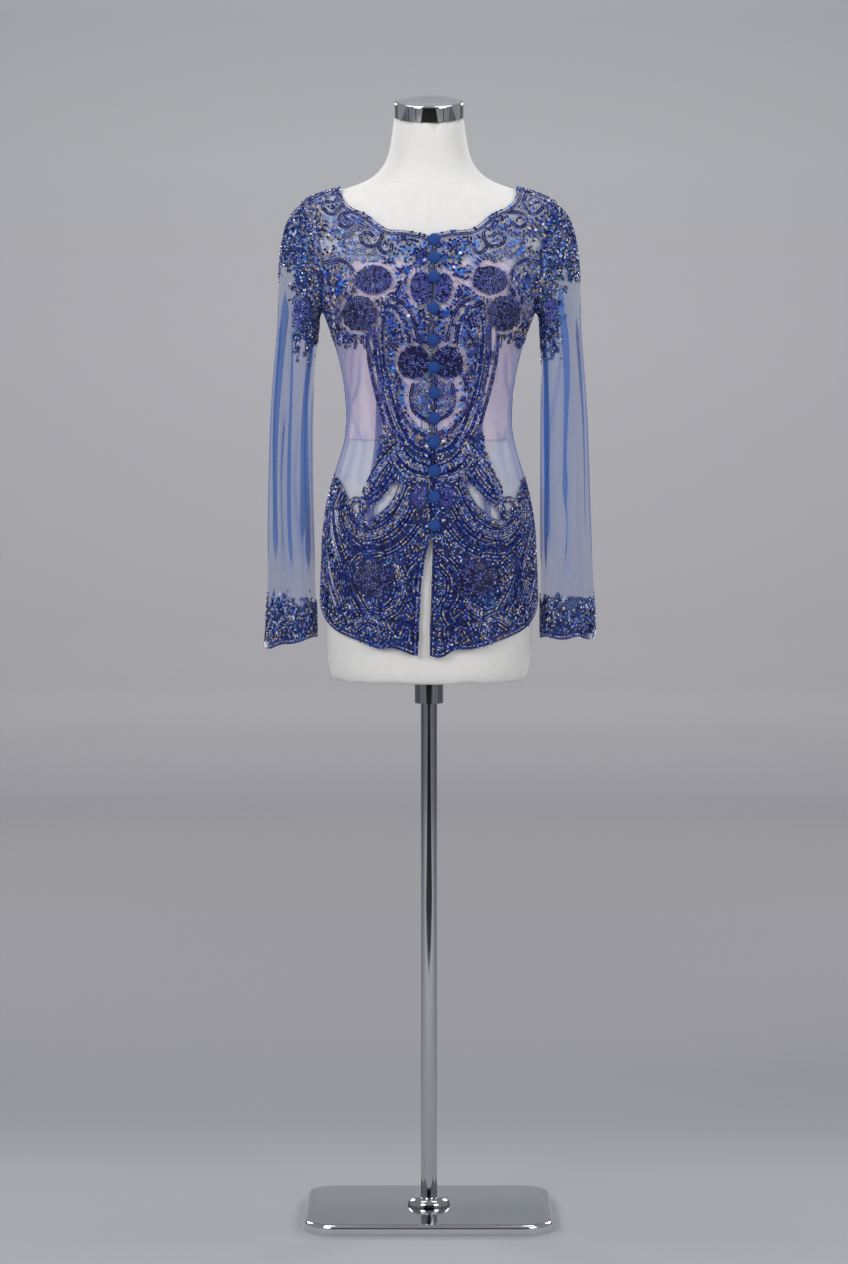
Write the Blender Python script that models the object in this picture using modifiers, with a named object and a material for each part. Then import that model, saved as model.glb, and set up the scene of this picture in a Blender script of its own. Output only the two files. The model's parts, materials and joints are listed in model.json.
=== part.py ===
"""A sheer beaded kebaya blouse, buttoned down the front, on a limbless dress form with a chrome stand.

Metres, +Z up. The front faces -Y and +X is the wearer's left. The origin is on the floor,
under the middle of the pole. Every cloth panel is a patch of one smooth garment surface, which
is the dress form's own surface moved out. A place on it is an angle round the body, 0 at the
centre front and 180 degrees at the centre back, and a level, which is a row of the torso table.
"""

import bisect
import itertools
import math
from collections import namedtuple

import bmesh
import bpy
from mathutils import Vector

# ---- dress form and stand -------------------------------------------------------------------
FORM_COLUMNS = 32
NECK_TOP_Z = 1.603
NECK_TOP_RADIUS = 0.0505
NECK_TOP_Y = -0.007
NECK_LEAN_FROM_Z = 1.530
NECK_LEAN = math.radians(12)
CAP_RADIUS = 0.0500
CAP_BAND = 0.0225
CAP_DOME = 0.0065
CAP_EDGE = 0.0030
BUST_FULLNESS = 0.021
BUST_X = 0.076
BUST_Z = 1.300
BUST_SPREAD_X = 0.050
BUST_SPREAD_UP = 0.070
BUST_SPREAD_DOWN = 0.052
BASE_WIDTH = 0.360
BASE_DEPTH = 0.285
BASE_THICKNESS = 0.016
BASE_CORNER = 0.046
BASE_EDGE = 0.006
POLE_RADIUS = 0.012
FLANGE_RADIUS = 0.031
FLANGE_HEIGHT = 0.013
SOCKET_RADIUS = 0.021
SOCKET_HEIGHT = 0.034
SEAT_GAP = 0.0003

# ---- kebaya ---------------------------------------------------------------------------------
CLOTH = 0.0012
SEAM_GAP = 0.0003
LINING = 0.0010
SHOULDER_POINT_Z = 1.4985
ARMHOLE_CENTRE_Z = 1.401
ARMHOLE_HALF_HEIGHT = 0.076
ARMHOLE_HALF_ANGLE = 31
PRINCESS_AT_ARMHOLE = 100  # degrees round the armhole, from the shoulder forwards
FRONT_COLUMNS = 10
FRONT_SEAM_ROWS = 26
FRONT_NECK_ROWS = 13
ARMHOLE_UPPER_FRONT_ROWS = 8
ARMHOLE_LOWER_FRONT_ROWS = 4
BACK_COLUMNS = 9
BACK_SEAM_ROWS = 18
BACK_NECK_ROWS = 6
ARMHOLE_BACK_ROWS = 11
HEM_SCALLOP = 0.0035
HEM_SCALLOP_WIDTH = 0.040
SLEEVE_CAP_ROWS = 6
SLEEVE_ROWS = 10
SLEEVE_CAP_END_Z = 1.300
SLEEVE_HEAD_REACH = 0.20  # of the way from the armhole to the tube, straight outwards
SLEEVE_HEAD_FORWARD = 0.25
SLEEVE_HEAD_DOWN = 0.35
UNDERARM_EASE = 0.004
CUFF_SCALLOPS = 5
LINING_ROWS = 11
LINING_FRONT_COLUMNS = 10
LINING_BACK_COLUMNS = 8
LINING_BOTTOM_Z = 1.140
LINING_OPENING = 0.012  # from the centre front to the lining's front edge
LINING_TOP_BAND = 0.6  # levels below its top edge over which the lining nears the cloth
FLOWER_GAP = 0.0005
FLOWER_STEPS = 12

BUTTON_RADIUS = 0.0090
BUTTON_DOME = 0.0062
BUTTON_LINE_X = 0.0075
BUTTON_GAP = 0.0006
BUTTON_STEPS = 12

# A section's squareness is 2 for an ellipse and more for a squarer one.
TorsoRow = namedtuple("TorsoRow", "z half_width front back squareness")
TORSO = [
    TorsoRow(0.7900, 0.1370, 0.0945, 0.0950, 2.25),
    TorsoRow(0.7980, 0.1440, 0.1015, 0.1020, 2.25),
    TorsoRow(0.8350, 0.1495, 0.1080, 0.1085, 2.25),
    TorsoRow(0.8950, 0.1518, 0.1095, 0.1140, 2.25),
    TorsoRow(0.9550, 0.1500, 0.1080, 0.1160, 2.25),
    TorsoRow(1.0100, 0.1475, 0.1050, 0.1120, 2.25),
    TorsoRow(1.0550, 0.1402, 0.1010, 0.1030, 2.25),
    TorsoRow(1.0950, 0.1290, 0.0960, 0.0920, 2.20),
    TorsoRow(1.1300, 0.1180, 0.0925, 0.0840, 2.15),
    TorsoRow(1.1650, 0.1130, 0.0910, 0.0810, 2.15),
    TorsoRow(1.2000, 0.1140, 0.0930, 0.0820, 2.15),
    TorsoRow(1.2350, 0.1195, 0.0970, 0.0860, 2.20),
    TorsoRow(1.2700, 0.1275, 0.1010, 0.0910, 2.25),
    TorsoRow(1.3000, 0.1370, 0.1040, 0.0950, 2.30),
    TorsoRow(1.3300, 0.1490, 0.1050, 0.0980, 2.30),
    TorsoRow(1.3600, 0.1650, 0.1040, 0.0990, 2.30),
    TorsoRow(1.3900, 0.1790, 0.1010, 0.0980, 2.20),
    TorsoRow(1.4200, 0.1865, 0.0960, 0.0950, 2.05),
    TorsoRow(1.4450, 0.1885, 0.0910, 0.0900, 1.90),
    TorsoRow(1.4650, 0.1865, 0.0860, 0.0850, 1.75),
    TorsoRow(1.4800, 0.1785, 0.0810, 0.0800, 1.70),
    TorsoRow(1.4910, 0.1550, 0.0780, 0.0770, 1.70),
    TorsoRow(1.5000, 0.1220, 0.0750, 0.0745, 1.75),
    TorsoRow(1.5090, 0.0950, 0.0710, 0.0710, 1.85),
    TorsoRow(1.5200, 0.0770, 0.0670, 0.0650, 1.95),
    TorsoRow(1.5350, 0.0640, 0.0635, 0.0580, 2.00),
    TorsoRow(1.5560, 0.0560, 0.0610, 0.0510, 2.00),
    TorsoRow(NECK_TOP_Z, NECK_TOP_RADIUS, NECK_TOP_RADIUS - NECK_TOP_Y, NECK_TOP_RADIUS + NECK_TOP_Y, 2.00),
]

# How far the outside of the cloth stands off the dress form, at each height.
LiftRow = namedtuple("LiftRow", "z lift")
CLOTH_LIFT = [
    LiftRow(0.830, 0.0070),
    LiftRow(0.900, 0.0060),
    LiftRow(1.000, 0.0056),
    LiftRow(1.350, 0.0056),
    LiftRow(1.400, 0.0048),
    LiftRow(1.440, 0.0042),
    LiftRow(1.470, 0.0040),
    LiftRow(1.520, 0.0036),
]
LINING_LIFT = 0.0024
LINING_LIFT_AT_TOP = 0.0030
BUST_BRIDGE = 0.007  # cloth spans the hollow between the cups
BUST_BRIDGE_HALF_WIDTH = 0.036

# Edges of the cloth: an angle round the body in degrees, and a height.
EdgePoint = namedtuple("EdgePoint", "angle z")
FRONT_NECKLINE = [
    EdgePoint(0, 1.4300),
    EdgePoint(5, 1.4335),
    EdgePoint(11.5, 1.4380),
    EdgePoint(19.5, 1.4378),
    EdgePoint(23.5, 1.4455),
    EdgePoint(30, 1.4590),
    EdgePoint(36, 1.4665),
    EdgePoint(40, 1.4695),
    EdgePoint(44.5, 1.4775),
    EdgePoint(52, 1.4870),
    EdgePoint(62, 1.4943),
    EdgePoint(75, 1.4975),
    EdgePoint(90, SHOULDER_POINT_Z),
]
BACK_NECKLINE = [
    EdgePoint(90, SHOULDER_POINT_Z),
    EdgePoint(118, 1.4920),
    EdgePoint(138, 1.4830),
    EdgePoint(154, 1.4750),
    EdgePoint(168, 1.4690),
    EdgePoint(180, 1.4670),
]
HEM = [
    EdgePoint(0, 0.8340),
    EdgePoint(5, 0.8350),
    EdgePoint(12, 0.8460),
    EdgePoint(25, 0.8505),
    EdgePoint(34, 0.8555),
    EdgePoint(50, 0.8660),
    EdgePoint(68, 0.8775),
    EdgePoint(80, 0.8960),
    EdgePoint(90, 0.9040),
    EdgePoint(120, 0.9060),
    EdgePoint(180, 0.9060),
]
PRINCESS_SEAM = [EdgePoint(31, 0.8490), EdgePoint(31, 1.0000), EdgePoint(36, 1.1700), EdgePoint(31, 1.2500),
                 EdgePoint(34, 1.3050), EdgePoint(45, 1.3520)]
LINING_TOP = [EdgePoint(0, 1.3900), EdgePoint(30, 1.3980), EdgePoint(60, 1.3550), EdgePoint(90, 1.3160),
              EdgePoint(120, 1.3140), EdgePoint(180, 1.3120)]

# The edges of the two fronts: their x at each height. They meet down to the last button.
ClosureRow = namedtuple("ClosureRow", "z right_x left_x")
CLOSURE = [
    ClosureRow(0.820, -0.0158, 0.0006),
    ClosureRow(0.870, -0.0150, 0.0018),
    ClosureRow(0.920, -0.0125, 0.0036),
    ClosureRow(0.965, -0.0080, 0.0050),
    ClosureRow(0.995, -0.0010, 0.0058),
    ClosureRow(1.012, 0.0050, 0.0053),
    ClosureRow(1.440, 0.0050, 0.0053),
]

BUTTON_Z = [1.4245, 1.3985, 1.3715, 1.3285, 1.2855, 1.2465, 1.2095, 1.1720, 1.1370, 1.0960, 1.0590, 1.0190]

# The sleeves hang straight: where the inner and outer edges lie, and how deep the tube is.
SleeveRow = namedtuple("SleeveRow", "z right_inner right_outer left_inner left_outer half_depth centre_y")
SLEEVES = [
    SleeveRow(SLEEVE_CAP_END_Z, 0.1590, 0.2180, 0.1600, 0.2190, 0.0560, 0.0010),
    SleeveRow(1.2400, 0.1650, 0.2245, 0.1625, 0.2240, 0.0545, 0.0000),
    SleeveRow(1.1700, 0.1695, 0.2290, 0.1620, 0.2290, 0.0520, -0.0010),
    SleeveRow(1.0900, 0.1695, 0.2320, 0.1615, 0.2325, 0.0490, -0.0020),
    SleeveRow(1.0000, 0.1675, 0.2345, 0.1612, 0.2360, 0.0465, -0.0020),
    SleeveRow(0.9200, 0.1640, 0.2350, 0.1612, 0.2405, 0.0450, -0.0010),
    SleeveRow(0.8430, 0.1618, 0.2395, 0.1612, 0.2425, 0.0440, 0.0000),
]
# Long soft troughs down each sleeve: where round the tube at the top and at the cuff, their
# half width in degrees and their depth. 0 is the outer edge, 90 the front and 180 the inner edge.
FoldRow = namedtuple("FoldRow", "top_angle cuff_angle half_width depth")
SLEEVE_FOLDS = [
    FoldRow(52, 28, 17, 0.0055),
    FoldRow(128, 112, 15, 0.0070),
    FoldRow(160, 150, 13, 0.0040),
    FoldRow(236, 250, 18, 0.0060),
    FoldRow(310, 325, 16, 0.0050),
]
FOLDS_BEGIN_Z = 1.360
FOLDS_FULL_Z = 1.200
FOLDS_LEFT_AT_CUFF = 0.30
FOLDS_FADE_LENGTH = 0.060

# Where each cuff ends, how much lower its outer side hangs, and how far its scallops dip.
Cuff = namedtuple("Cuff", "z outer_drop scallop")
CUFFS = {1: Cuff(0.8565, 0.0, 0.0065), -1: Cuff(0.8475, 0.0085, 0.0040)}

# Thick domed flowers of close bead work, sewn on the fronts: side is 1 on the wearer's left.
Flower = namedtuple("Flower", "name side x z half_width half_height")
FLOWERS = [
    Flower("bust_upper_right", -1, 0.0775, 1.3672, 0.0250, 0.0205),
    Flower("bust_upper_left", 1, 0.0850, 1.3672, 0.0240, 0.0200),
    Flower("bust_lower_right", -1, 0.0960, 1.3215, 0.0225, 0.0240),
    Flower("bust_lower_left", 1, 0.1035, 1.3215, 0.0215, 0.0240),
    Flower("chest_right", -1, 0.0120, 1.3560, 0.0160, 0.0235),
    Flower("chest_left", 1, 0.0202, 1.3560, 0.0135, 0.0215),
    Flower("waist_right", -1, 0.0218, 1.2530, 0.0228, 0.0240),
    Flower("waist_left", 1, 0.0274, 1.2530, 0.0208, 0.0240),
    Flower("hem_right", -1, 0.0780, 0.9420, 0.0255, 0.0255),
    Flower("hem_left", 1, 0.0660, 0.9420, 0.0255, 0.0255),
]

# A flower's height above the cloth, at each share of the way from its middle to its edge.
DomeRing = namedtuple("DomeRing", "share height")
FLOWER_DOME = [DomeRing(0.0, 0.0026), DomeRing(0.62, 0.0022), DomeRing(1.0, 0.0010)]


# ---- curves and surfaces --------------------------------------------------------------------
def smooth(values, at):
    """The value at a place between table rows, on a smooth curve through all of them."""
    last = len(values) - 1
    i = min(max(int(math.floor(at)), 0), last - 1)
    t = at - i
    before = values[i - 1] if i else 2 * values[0] - values[1]
    after = values[i + 2] if i + 2 <= last else 2 * values[last] - values[last - 1]
    a, b = values[i], values[i + 1]
    bend = (after - 3 * b + 3 * a - before) * t
    return a + 0.5 * t * (b - before + t * (2 * before - 5 * a + 4 * b - after + bend))


def between(rows, key, value, z):
    """A table's value at a height, in straight lines between its rows."""
    keys = [getattr(row, key) for row in rows]
    if z <= keys[0]:
        return getattr(rows[0], value)
    if z >= keys[-1]:
        return getattr(rows[-1], value)
    i = bisect.bisect_right(keys, z) - 1
    share = (z - keys[i]) / (keys[i + 1] - keys[i])
    return getattr(rows[i], value) * (1 - share) + getattr(rows[i + 1], value) * share


def ease(share):
    share = min(max(share, 0.0), 1.0)
    return share * share * (3 - 2 * share)


COLUMNS_OF_TORSO = {field: [getattr(row, field) for row in TORSO] for field in TorsoRow._fields}


def torso_size(level):
    return [smooth(COLUMNS_OF_TORSO[field], level) for field in TorsoRow._fields]


def level_at(z):
    """The level whose height is z."""
    low, high = 0.0, float(len(TORSO) - 1)
    for _ in range(40):
        middle = (low + high) / 2
        if smooth(COLUMNS_OF_TORSO["z"], middle) < z:
            low = middle
        else:
            high = middle
    return (low + high) / 2


def signed_power(value, power):
    return math.copysign(abs(value) ** power, value)


def bust(x, z):
    spread_z = BUST_SPREAD_UP if z > BUST_Z else BUST_SPREAD_DOWN
    return math.exp(-(((abs(x) - BUST_X) / BUST_SPREAD_X) ** 2) - ((z - BUST_Z) / spread_z) ** 2)


def form_point(angle, level):
    """A point of the dress form, at an angle in radians and a level."""
    z, half_width, front, back, squareness = torso_size(level)
    x = half_width * signed_power(math.sin(angle), 2 / squareness)
    facing = signed_power(math.cos(angle), 2 / squareness)
    y = -facing * (front if facing > 0 else back)
    y -= BUST_FULLNESS * bust(x, z) * max(facing, 0.0) ** 0.5
    lean = ease((z - NECK_LEAN_FROM_Z) / (NECK_TOP_Z - NECK_LEAN_FROM_Z))
    return Vector((x, y, z + lean * (y - NECK_TOP_Y) * math.tan(NECK_LEAN)))


def form_normal(angle, level):
    across = form_point(angle + 0.01, level) - form_point(angle - 0.01, level)
    top = len(TORSO) - 1
    up = form_point(angle, min(level + 0.02, top)) - form_point(angle, max(level - 0.02, 0))
    return across.cross(up).normalized()


def cloth_point(angle, level, inward=0.0):
    """A point on the outside of the blouse's body, or that far inside it."""
    on_form = form_point(angle, level)
    lift = between(CLOTH_LIFT, "z", "lift", on_form.z) - inward
    across, up = on_form.x / BUST_BRIDGE_HALF_WIDTH, (on_form.z - BUST_Z) / BUST_SPREAD_UP
    bridge = math.exp(-(across**2) - up**2)
    if math.cos(angle) > 0:
        lift += BUST_BRIDGE * bridge
    return on_form + form_normal(angle, level) * lift


def angle_at_x(x, level):
    """The angle at which the form's front reaches that x."""
    _, half_width, _, _, squareness = torso_size(level)
    return math.copysign(math.asin(min(abs(x) / half_width, 1.0) ** (squareness / 2)), x)


def edge(points):
    """Places (angle, level) along a smooth curve through an edge's points."""
    angles = [math.radians(p.angle) for p in points]
    levels = [level_at(p.z) for p in points]
    steps = 12
    ends = [i / steps for i in range((len(points) - 1) * steps + 1)]
    return [(smooth(angles, at), smooth(levels, at)) for at in ends]


def evenly(places, count):
    """count + 1 places evenly spaced along a curve over the cloth."""
    points = [cloth_point(*place) for place in places]
    along = [0.0]
    for a, b in zip(points, points[1:]):
        along.append(along[-1] + (b - a).length)
    found = []
    for k in range(count + 1):
        target = along[-1] * k / count
        i = min(max(bisect.bisect_right(along, target) - 1, 0), len(along) - 2)
        share = (target - along[i]) / max(along[i + 1] - along[i], 1e-9)
        found.append(tuple(a + (b - a) * share for a, b in zip(places[i], places[i + 1])))
    return found


# ---- the seams of the wearer's left half, each a list of places ------------------------------
def armhole_place(turn):
    """turn is in degrees: 0 at the shoulder, 90 at the front, 180 under the arm, 270 at the back."""
    angle = 90 - ARMHOLE_HALF_ANGLE * math.sin(math.radians(turn))
    z = ARMHOLE_CENTRE_Z + ARMHOLE_HALF_HEIGHT * math.cos(math.radians(turn))
    return math.radians(angle), level_at(z)


def armhole_part(start, end, count):
    return evenly([armhole_place(start + (end - start) * k / 24) for k in range(25)], count)


def hem_between(start, end, count):
    """The hem from one angle to another, both in radians: it dips in scallops between cusps."""
    low, high = min(start, end), max(start, end)
    ends = {angle: level_at(between(HEM, "angle", "z", math.degrees(angle))) for angle in (start, end)}
    middle = [place for place in edge(HEM) if low < place[0] < high]
    if start > end:
        middle.reverse()
    plain = evenly([(start, ends[start]), *middle, (end, ends[end])], count)
    points = [cloth_point(*place) for place in plain]
    along, found = 0.0, [plain[0]]
    for (angle, level), before, here in zip(plain[1:], points, points[1:]):
        along += (here - before).length
        dip = HEM_SCALLOP * abs(math.sin(math.pi * along / HEM_SCALLOP_WIDTH))
        found.append((angle, level_at(torso_size(level)[0] - dip)))
    found[-1] = plain[-1]
    return found


def closing_edge(side):
    """The centre edge of one front, from the hem to the neck."""
    places = []
    low, high = HEM[0].z, FRONT_NECKLINE[0].z
    for k in range(60):
        z = low + (high - low) * k / 59
        x = between(CLOSURE, "z", "left_x" if side > 0 else "right_x", z)
        level = level_at(z)
        places.append((angle_at_x(x * side, level), level))
    return places


ARMHOLE_UPPER_FRONT = armhole_part(0, PRINCESS_AT_ARMHOLE, ARMHOLE_UPPER_FRONT_ROWS)[::-1]
ARMHOLE_LOWER_FRONT = armhole_part(PRINCESS_AT_ARMHOLE, 180, ARMHOLE_LOWER_FRONT_ROWS)
ARMHOLE_BACK = armhole_part(180, 360, ARMHOLE_BACK_ROWS)
PRINCESS = evenly([*edge(PRINCESS_SEAM), armhole_place(PRINCESS_AT_ARMHOLE)], FRONT_SEAM_ROWS)
SIDE_ANGLE = math.radians(90)


def upright(angle, low, high, count):
    """count + 1 places straight up the body, between two heights."""
    return evenly([(angle, level_at(low + (high - low) * k / 30)) for k in range(31)], count)


SIDE_HEM_Z = between(HEM, "angle", "z", 90)
UNDERARM_Z = ARMHOLE_CENTRE_Z - ARMHOLE_HALF_HEIGHT
OVERARM_Z = ARMHOLE_CENTRE_Z + ARMHOLE_HALF_HEIGHT
FRONT_SIDE_SEAM = upright(SIDE_ANGLE, SIDE_HEM_Z, UNDERARM_Z, FRONT_SEAM_ROWS)
BACK_SIDE_SEAM = upright(SIDE_ANGLE, SIDE_HEM_Z, UNDERARM_Z, BACK_SEAM_ROWS)


# ---- panels ---------------------------------------------------------------------------------
def patch(bottom, top, left, right):
    """Rows of places that fill four edges, each a list of places with the ends shared."""
    columns, rows = len(bottom) - 1, len(left) - 1
    grid = []
    for j in range(rows + 1):
        w, row = j / rows, []
        for i in range(columns + 1):
            u = i / columns
            row.append(tuple(
                (1 - w) * bottom[i][k] + w * top[i][k] + (1 - u) * left[j][k] + u * right[j][k]
                - (1 - u) * (1 - w) * bottom[0][k] - u * (1 - w) * bottom[-1][k]
                - (1 - u) * w * top[0][k] - u * w * top[-1][k]
                for k in range(2)
            ))
        grid.append(row)
    return grid


def pull_in(points, seams):
    """Draws the edges of a grid of points that are seams inwards, so that no pieces touch there."""
    rows, columns = len(points), len(points[0])
    moved = [[point.copy() for point in row] for row in points]
    for j, i in itertools.product(range(rows), range(columns)):
        along_row = points[j][min(i + 1, columns - 1)] - points[j][max(i - 1, 0)]
        along_column = points[min(j + 1, rows - 1)][i] - points[max(j - 1, 0)][i]
        for seam, at_seam, step_j, step_i, seam_line in (
            ("top", j == rows - 1, -1, 0, along_row),
            ("left", i == 0, 0, 1, along_column),
            ("right", i == columns - 1, 0, -1, along_column),
        ):
            if at_seam and seam in seams:
                inwards = points[j + step_j][i + step_i] - points[j][i]
                inwards -= inwards.project(seam_line)
                moved[j][i] += inwards.normalized() * SEAM_GAP / 2
    return moved


def collection_for(name):
    made = bpy.data.collections.new(name)
    bpy.context.scene.collection.children.link(made)
    return made


def material_for(name, colour, roughness, metallic=0.0, alpha=1.0):
    made = bpy.data.materials.new(name)
    made.use_nodes = True
    shader = made.node_tree.nodes["Principled BSDF"]
    shader.inputs["Base Color"].default_value = (*colour, 1)
    shader.inputs["Roughness"].default_value = roughness
    shader.inputs["Metallic"].default_value = metallic
    shader.inputs["Alpha"].default_value = alpha
    return made


def object_from(bm, name, material, collection):
    mesh = bpy.data.meshes.new(name)
    bm.to_mesh(mesh)
    bm.free()
    mesh.materials.append(material)
    mesh.shade_smooth()
    mesh.set_sharp_from_angle(angle=math.radians(50))
    obj = bpy.data.objects.new(name, mesh)
    collection.objects.link(obj)
    return obj


def wall(name, outside, inside, material, collection):
    """A closed wall between two skins. Each is a list of grids of points, welded where they meet."""
    bm = bmesh.new()
    place = bm.verts.layers.int.new("place")
    placed = []
    for outer_grid, inner_grid in zip(outside, inside):
        rows, columns = len(outer_grid) - 1, len(outer_grid[0]) - 1
        made = bmesh.ops.create_grid(bm, x_segments=columns, y_segments=rows, size=1)
        for v in made["verts"]:
            i, j = round((v.co.x + 1) / 2 * columns), round((v.co.y + 1) / 2 * rows)
            v[place] = len(placed)
            v.co = outer_grid[j][i]
            placed.append(inner_grid[j][i])
    bmesh.ops.remove_doubles(bm, verts=bm.verts[:], dist=1e-6)
    outer_skin = set(bm.verts)
    bmesh.ops.extrude_face_region(bm, geom=bm.verts[:] + bm.edges[:] + bm.faces[:], use_keep_orig=True)
    for v in bm.verts:
        if v not in outer_skin:
            v.co = placed[v[place]]
    bmesh.ops.recalc_face_normals(bm, faces=bm.faces[:])
    return object_from(bm, name, material, collection)


def on_side(points, side):
    """Rows of the wearer's left, or their mirror image."""
    return [[Vector((point.x * side, point.y, point.z)) for point in row] for row in points]


def cloth_panel(name, places, sides, seams, material, collection, inward=None, thickness=CLOTH):
    """A wall of cloth over rows of places, on the wearer's left (1), right (-1) or both, joined."""
    depth = [[inward(*place) if inward else 0.0 for place in row] for row in places]
    skins = []
    for extra in (0.0, thickness):
        skin = [[cloth_point(*place, d + extra) for place, d in zip(*pair)] for pair in zip(places, depth)]
        skin = pull_in(skin, seams)
        skins.append([on_side(skin, side) for side in sides])
    return wall(name, *skins, material, collection)


def centre_front(side):
    """Rows across from the closing edge and the neckline to the princess seam and the armhole."""
    closing = closing_edge(side)
    neckline = edge(FRONT_NECKLINE)
    neckline[0] = closing[-1]
    inner = evenly(closing, FRONT_SEAM_ROWS + ARMHOLE_UPPER_FRONT_ROWS - FRONT_NECK_ROWS)
    inner += evenly(neckline, FRONT_NECK_ROWS)[1:]
    hem = hem_between(inner[0][0], PRINCESS[0][0], FRONT_COLUMNS)
    shoulder = upright(SIDE_ANGLE, SHOULDER_POINT_Z, OVERARM_Z, FRONT_COLUMNS)
    return patch(hem, shoulder, inner, PRINCESS + ARMHOLE_UPPER_FRONT[1:])


def side_front():
    hem = hem_between(PRINCESS[0][0], SIDE_ANGLE, ARMHOLE_LOWER_FRONT_ROWS)
    return patch(hem, ARMHOLE_LOWER_FRONT, PRINCESS, FRONT_SIDE_SEAM)


def half_back():
    """Rows across from the centre back and the back neckline to the side seam and the armhole."""
    inner = upright(math.pi, HEM[-1].z, UNDERARM_Z, BACK_SEAM_ROWS)
    inner += upright(math.pi, UNDERARM_Z, BACK_NECKLINE[-1].z, ARMHOLE_BACK_ROWS - BACK_NECK_ROWS)[1:]
    inner += evenly(edge(BACK_NECKLINE)[::-1], BACK_NECK_ROWS)[1:]
    hem = hem_between(math.pi, SIDE_ANGLE, BACK_COLUMNS)
    shoulder = upright(SIDE_ANGLE, SHOULDER_POINT_Z, OVERARM_Z, BACK_COLUMNS)
    return patch(hem, shoulder, inner, BACK_SIDE_SEAM + ARMHOLE_BACK[1:])


def lining_inward(angle, level):
    """How far the lining lies inside the blouse's outer surface: it nears the cloth at its top edge."""
    near_top = ease(1 - (lining_top(angle) - level) / LINING_TOP_BAND)
    lift = LINING_LIFT + (LINING_LIFT_AT_TOP - LINING_LIFT) * near_top
    return between(CLOTH_LIFT, "z", "lift", torso_size(level)[0]) - lift


def lining_top(angle):
    return level_at(between(LINING_TOP, "angle", "z", math.degrees(angle)))


def lining_places(start, end, columns):
    bottom = level_at(LINING_BOTTOM_Z)
    angles = [start + (end - start) * i / columns for i in range(columns + 1)]
    return [[(angle, bottom + (lining_top(angle) - bottom) * j / LINING_ROWS) for angle in angles]
            for j in range(LINING_ROWS + 1)]


# ---- sleeves --------------------------------------------------------------------------------
def sleeve_fold(turn, z):
    """How far a long trough draws the sleeve in, turn in degrees round the tube."""
    down = (SLEEVE_CAP_END_Z - z) / (SLEEVE_CAP_END_Z - SLEEVES[-1].z)
    total = 0.0
    for fold in SLEEVE_FOLDS:
        centre = fold.top_angle + (fold.cuff_angle - fold.top_angle) * down
        away = (turn - centre + 180) % 360 - 180
        total += fold.depth * math.exp(-((away / fold.half_width) ** 2))
    faded = 1 - ease((z - SLEEVES[-1].z) / FOLDS_FADE_LENGTH)
    fade = 1 - (1 - FOLDS_LEFT_AT_CUFF) * faded
    return total * ease((FOLDS_BEGIN_Z - z) / (FOLDS_BEGIN_Z - FOLDS_FULL_Z)) * fade


def sleeve_ring_point(side, turn, z):
    """A point of the hanging tube: turn 0 is outwards, 90 to the front, 180 towards the body."""
    columns = ("left_inner", "left_outer") if side > 0 else ("right_inner", "right_outer")
    inner, outer = (-sleeve_size(name, z) for name in columns)
    half_width, centre_x = (inner - outer) / 2, -(inner + outer) / 2
    depth = sleeve_size("half_depth", z)
    drawn = sleeve_fold(turn, z)
    a = math.radians(turn)
    return Vector((
        centre_x + (half_width - drawn) * math.cos(a),
        sleeve_size("centre_y", z) - (depth - drawn) * math.sin(a),
        z,
    ))


def sleeve_size(name, z):
    rows = SLEEVES
    i = 0
    while i < len(rows) - 2 and z < rows[i + 1].z:
        i += 1
    at = i + (rows[i].z - z) / (rows[i].z - rows[i + 1].z)
    return smooth([getattr(row, name) for row in rows], max(at, 0.0))


def sleeve_turns():
    """The places round the armhole, and where each lies round the tube, from the shoulder."""
    places = ARMHOLE_UPPER_FRONT[::-1] + ARMHOLE_LOWER_FRONT[1:] + ARMHOLE_BACK[1:-1]
    heights = [cloth_point(*place) for place in places]
    along = [0.0]
    for a, b in zip(heights, heights[1:] + heights[:1]):
        along.append(along[-1] + (b - a).length)
    under = ARMHOLE_UPPER_FRONT_ROWS + ARMHOLE_LOWER_FRONT_ROWS
    turns = []
    for k in range(len(places)):
        if k <= under:
            turns.append(180 * along[k] / along[under])
        else:
            turns.append(180 + 180 * (along[k] - along[under]) / (along[-1] - along[under]))
    return places, turns


def sleeve_points(side):
    """Rows of points round the sleeve, from the armhole to the cuff."""
    places, turns = sleeve_turns()
    rows = []
    for j in range(SLEEVE_CAP_ROWS):
        t, row = j / SLEEVE_CAP_ROWS, []
        for place, turn in zip(places, turns):
            start = beside_armhole(place, 0.0)
            end = sleeve_ring_point(side, turn, SLEEVE_CAP_END_Z)
            reach = (end - start).length
            under = (1 - math.cos(math.radians(turn))) / 2
            forward = SLEEVE_HEAD_FORWARD * math.sin(math.radians(turn))
            out = Vector((1.0, -forward, -SLEEVE_HEAD_DOWN * (1 - under))).normalized()
            first = start + out * (reach * SLEEVE_HEAD_REACH + UNDERARM_EASE * under)
            second = end + Vector((0, 0, reach * (0.45 - 0.20 * under)))
            row.append(start * (1 - t) ** 3 + first * 3 * t * (1 - t) ** 2
                       + second * 3 * t * t * (1 - t) + end * t ** 3)
        rows.append(row)
    cuff = CUFFS[side]
    for j in range(SLEEVE_ROWS + 1):
        z = SLEEVE_CAP_END_Z + (cuff.z - SLEEVE_CAP_END_Z) * j / SLEEVE_ROWS
        rows.append([sleeve_ring_point(side, turn, z) for turn in turns])
    for point, turn in zip(rows[-1], turns):
        around = math.radians(turn)
        point.z -= cuff.scallop * abs(math.sin(around * CUFF_SCALLOPS / 2))
        point.z -= cuff.outer_drop * math.cos(around)
    return rows


ARMHOLE_CENTRE = sum((cloth_point(*armhole_place(turn)) for turn in range(0, 360, 15)), Vector()) / 24


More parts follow.
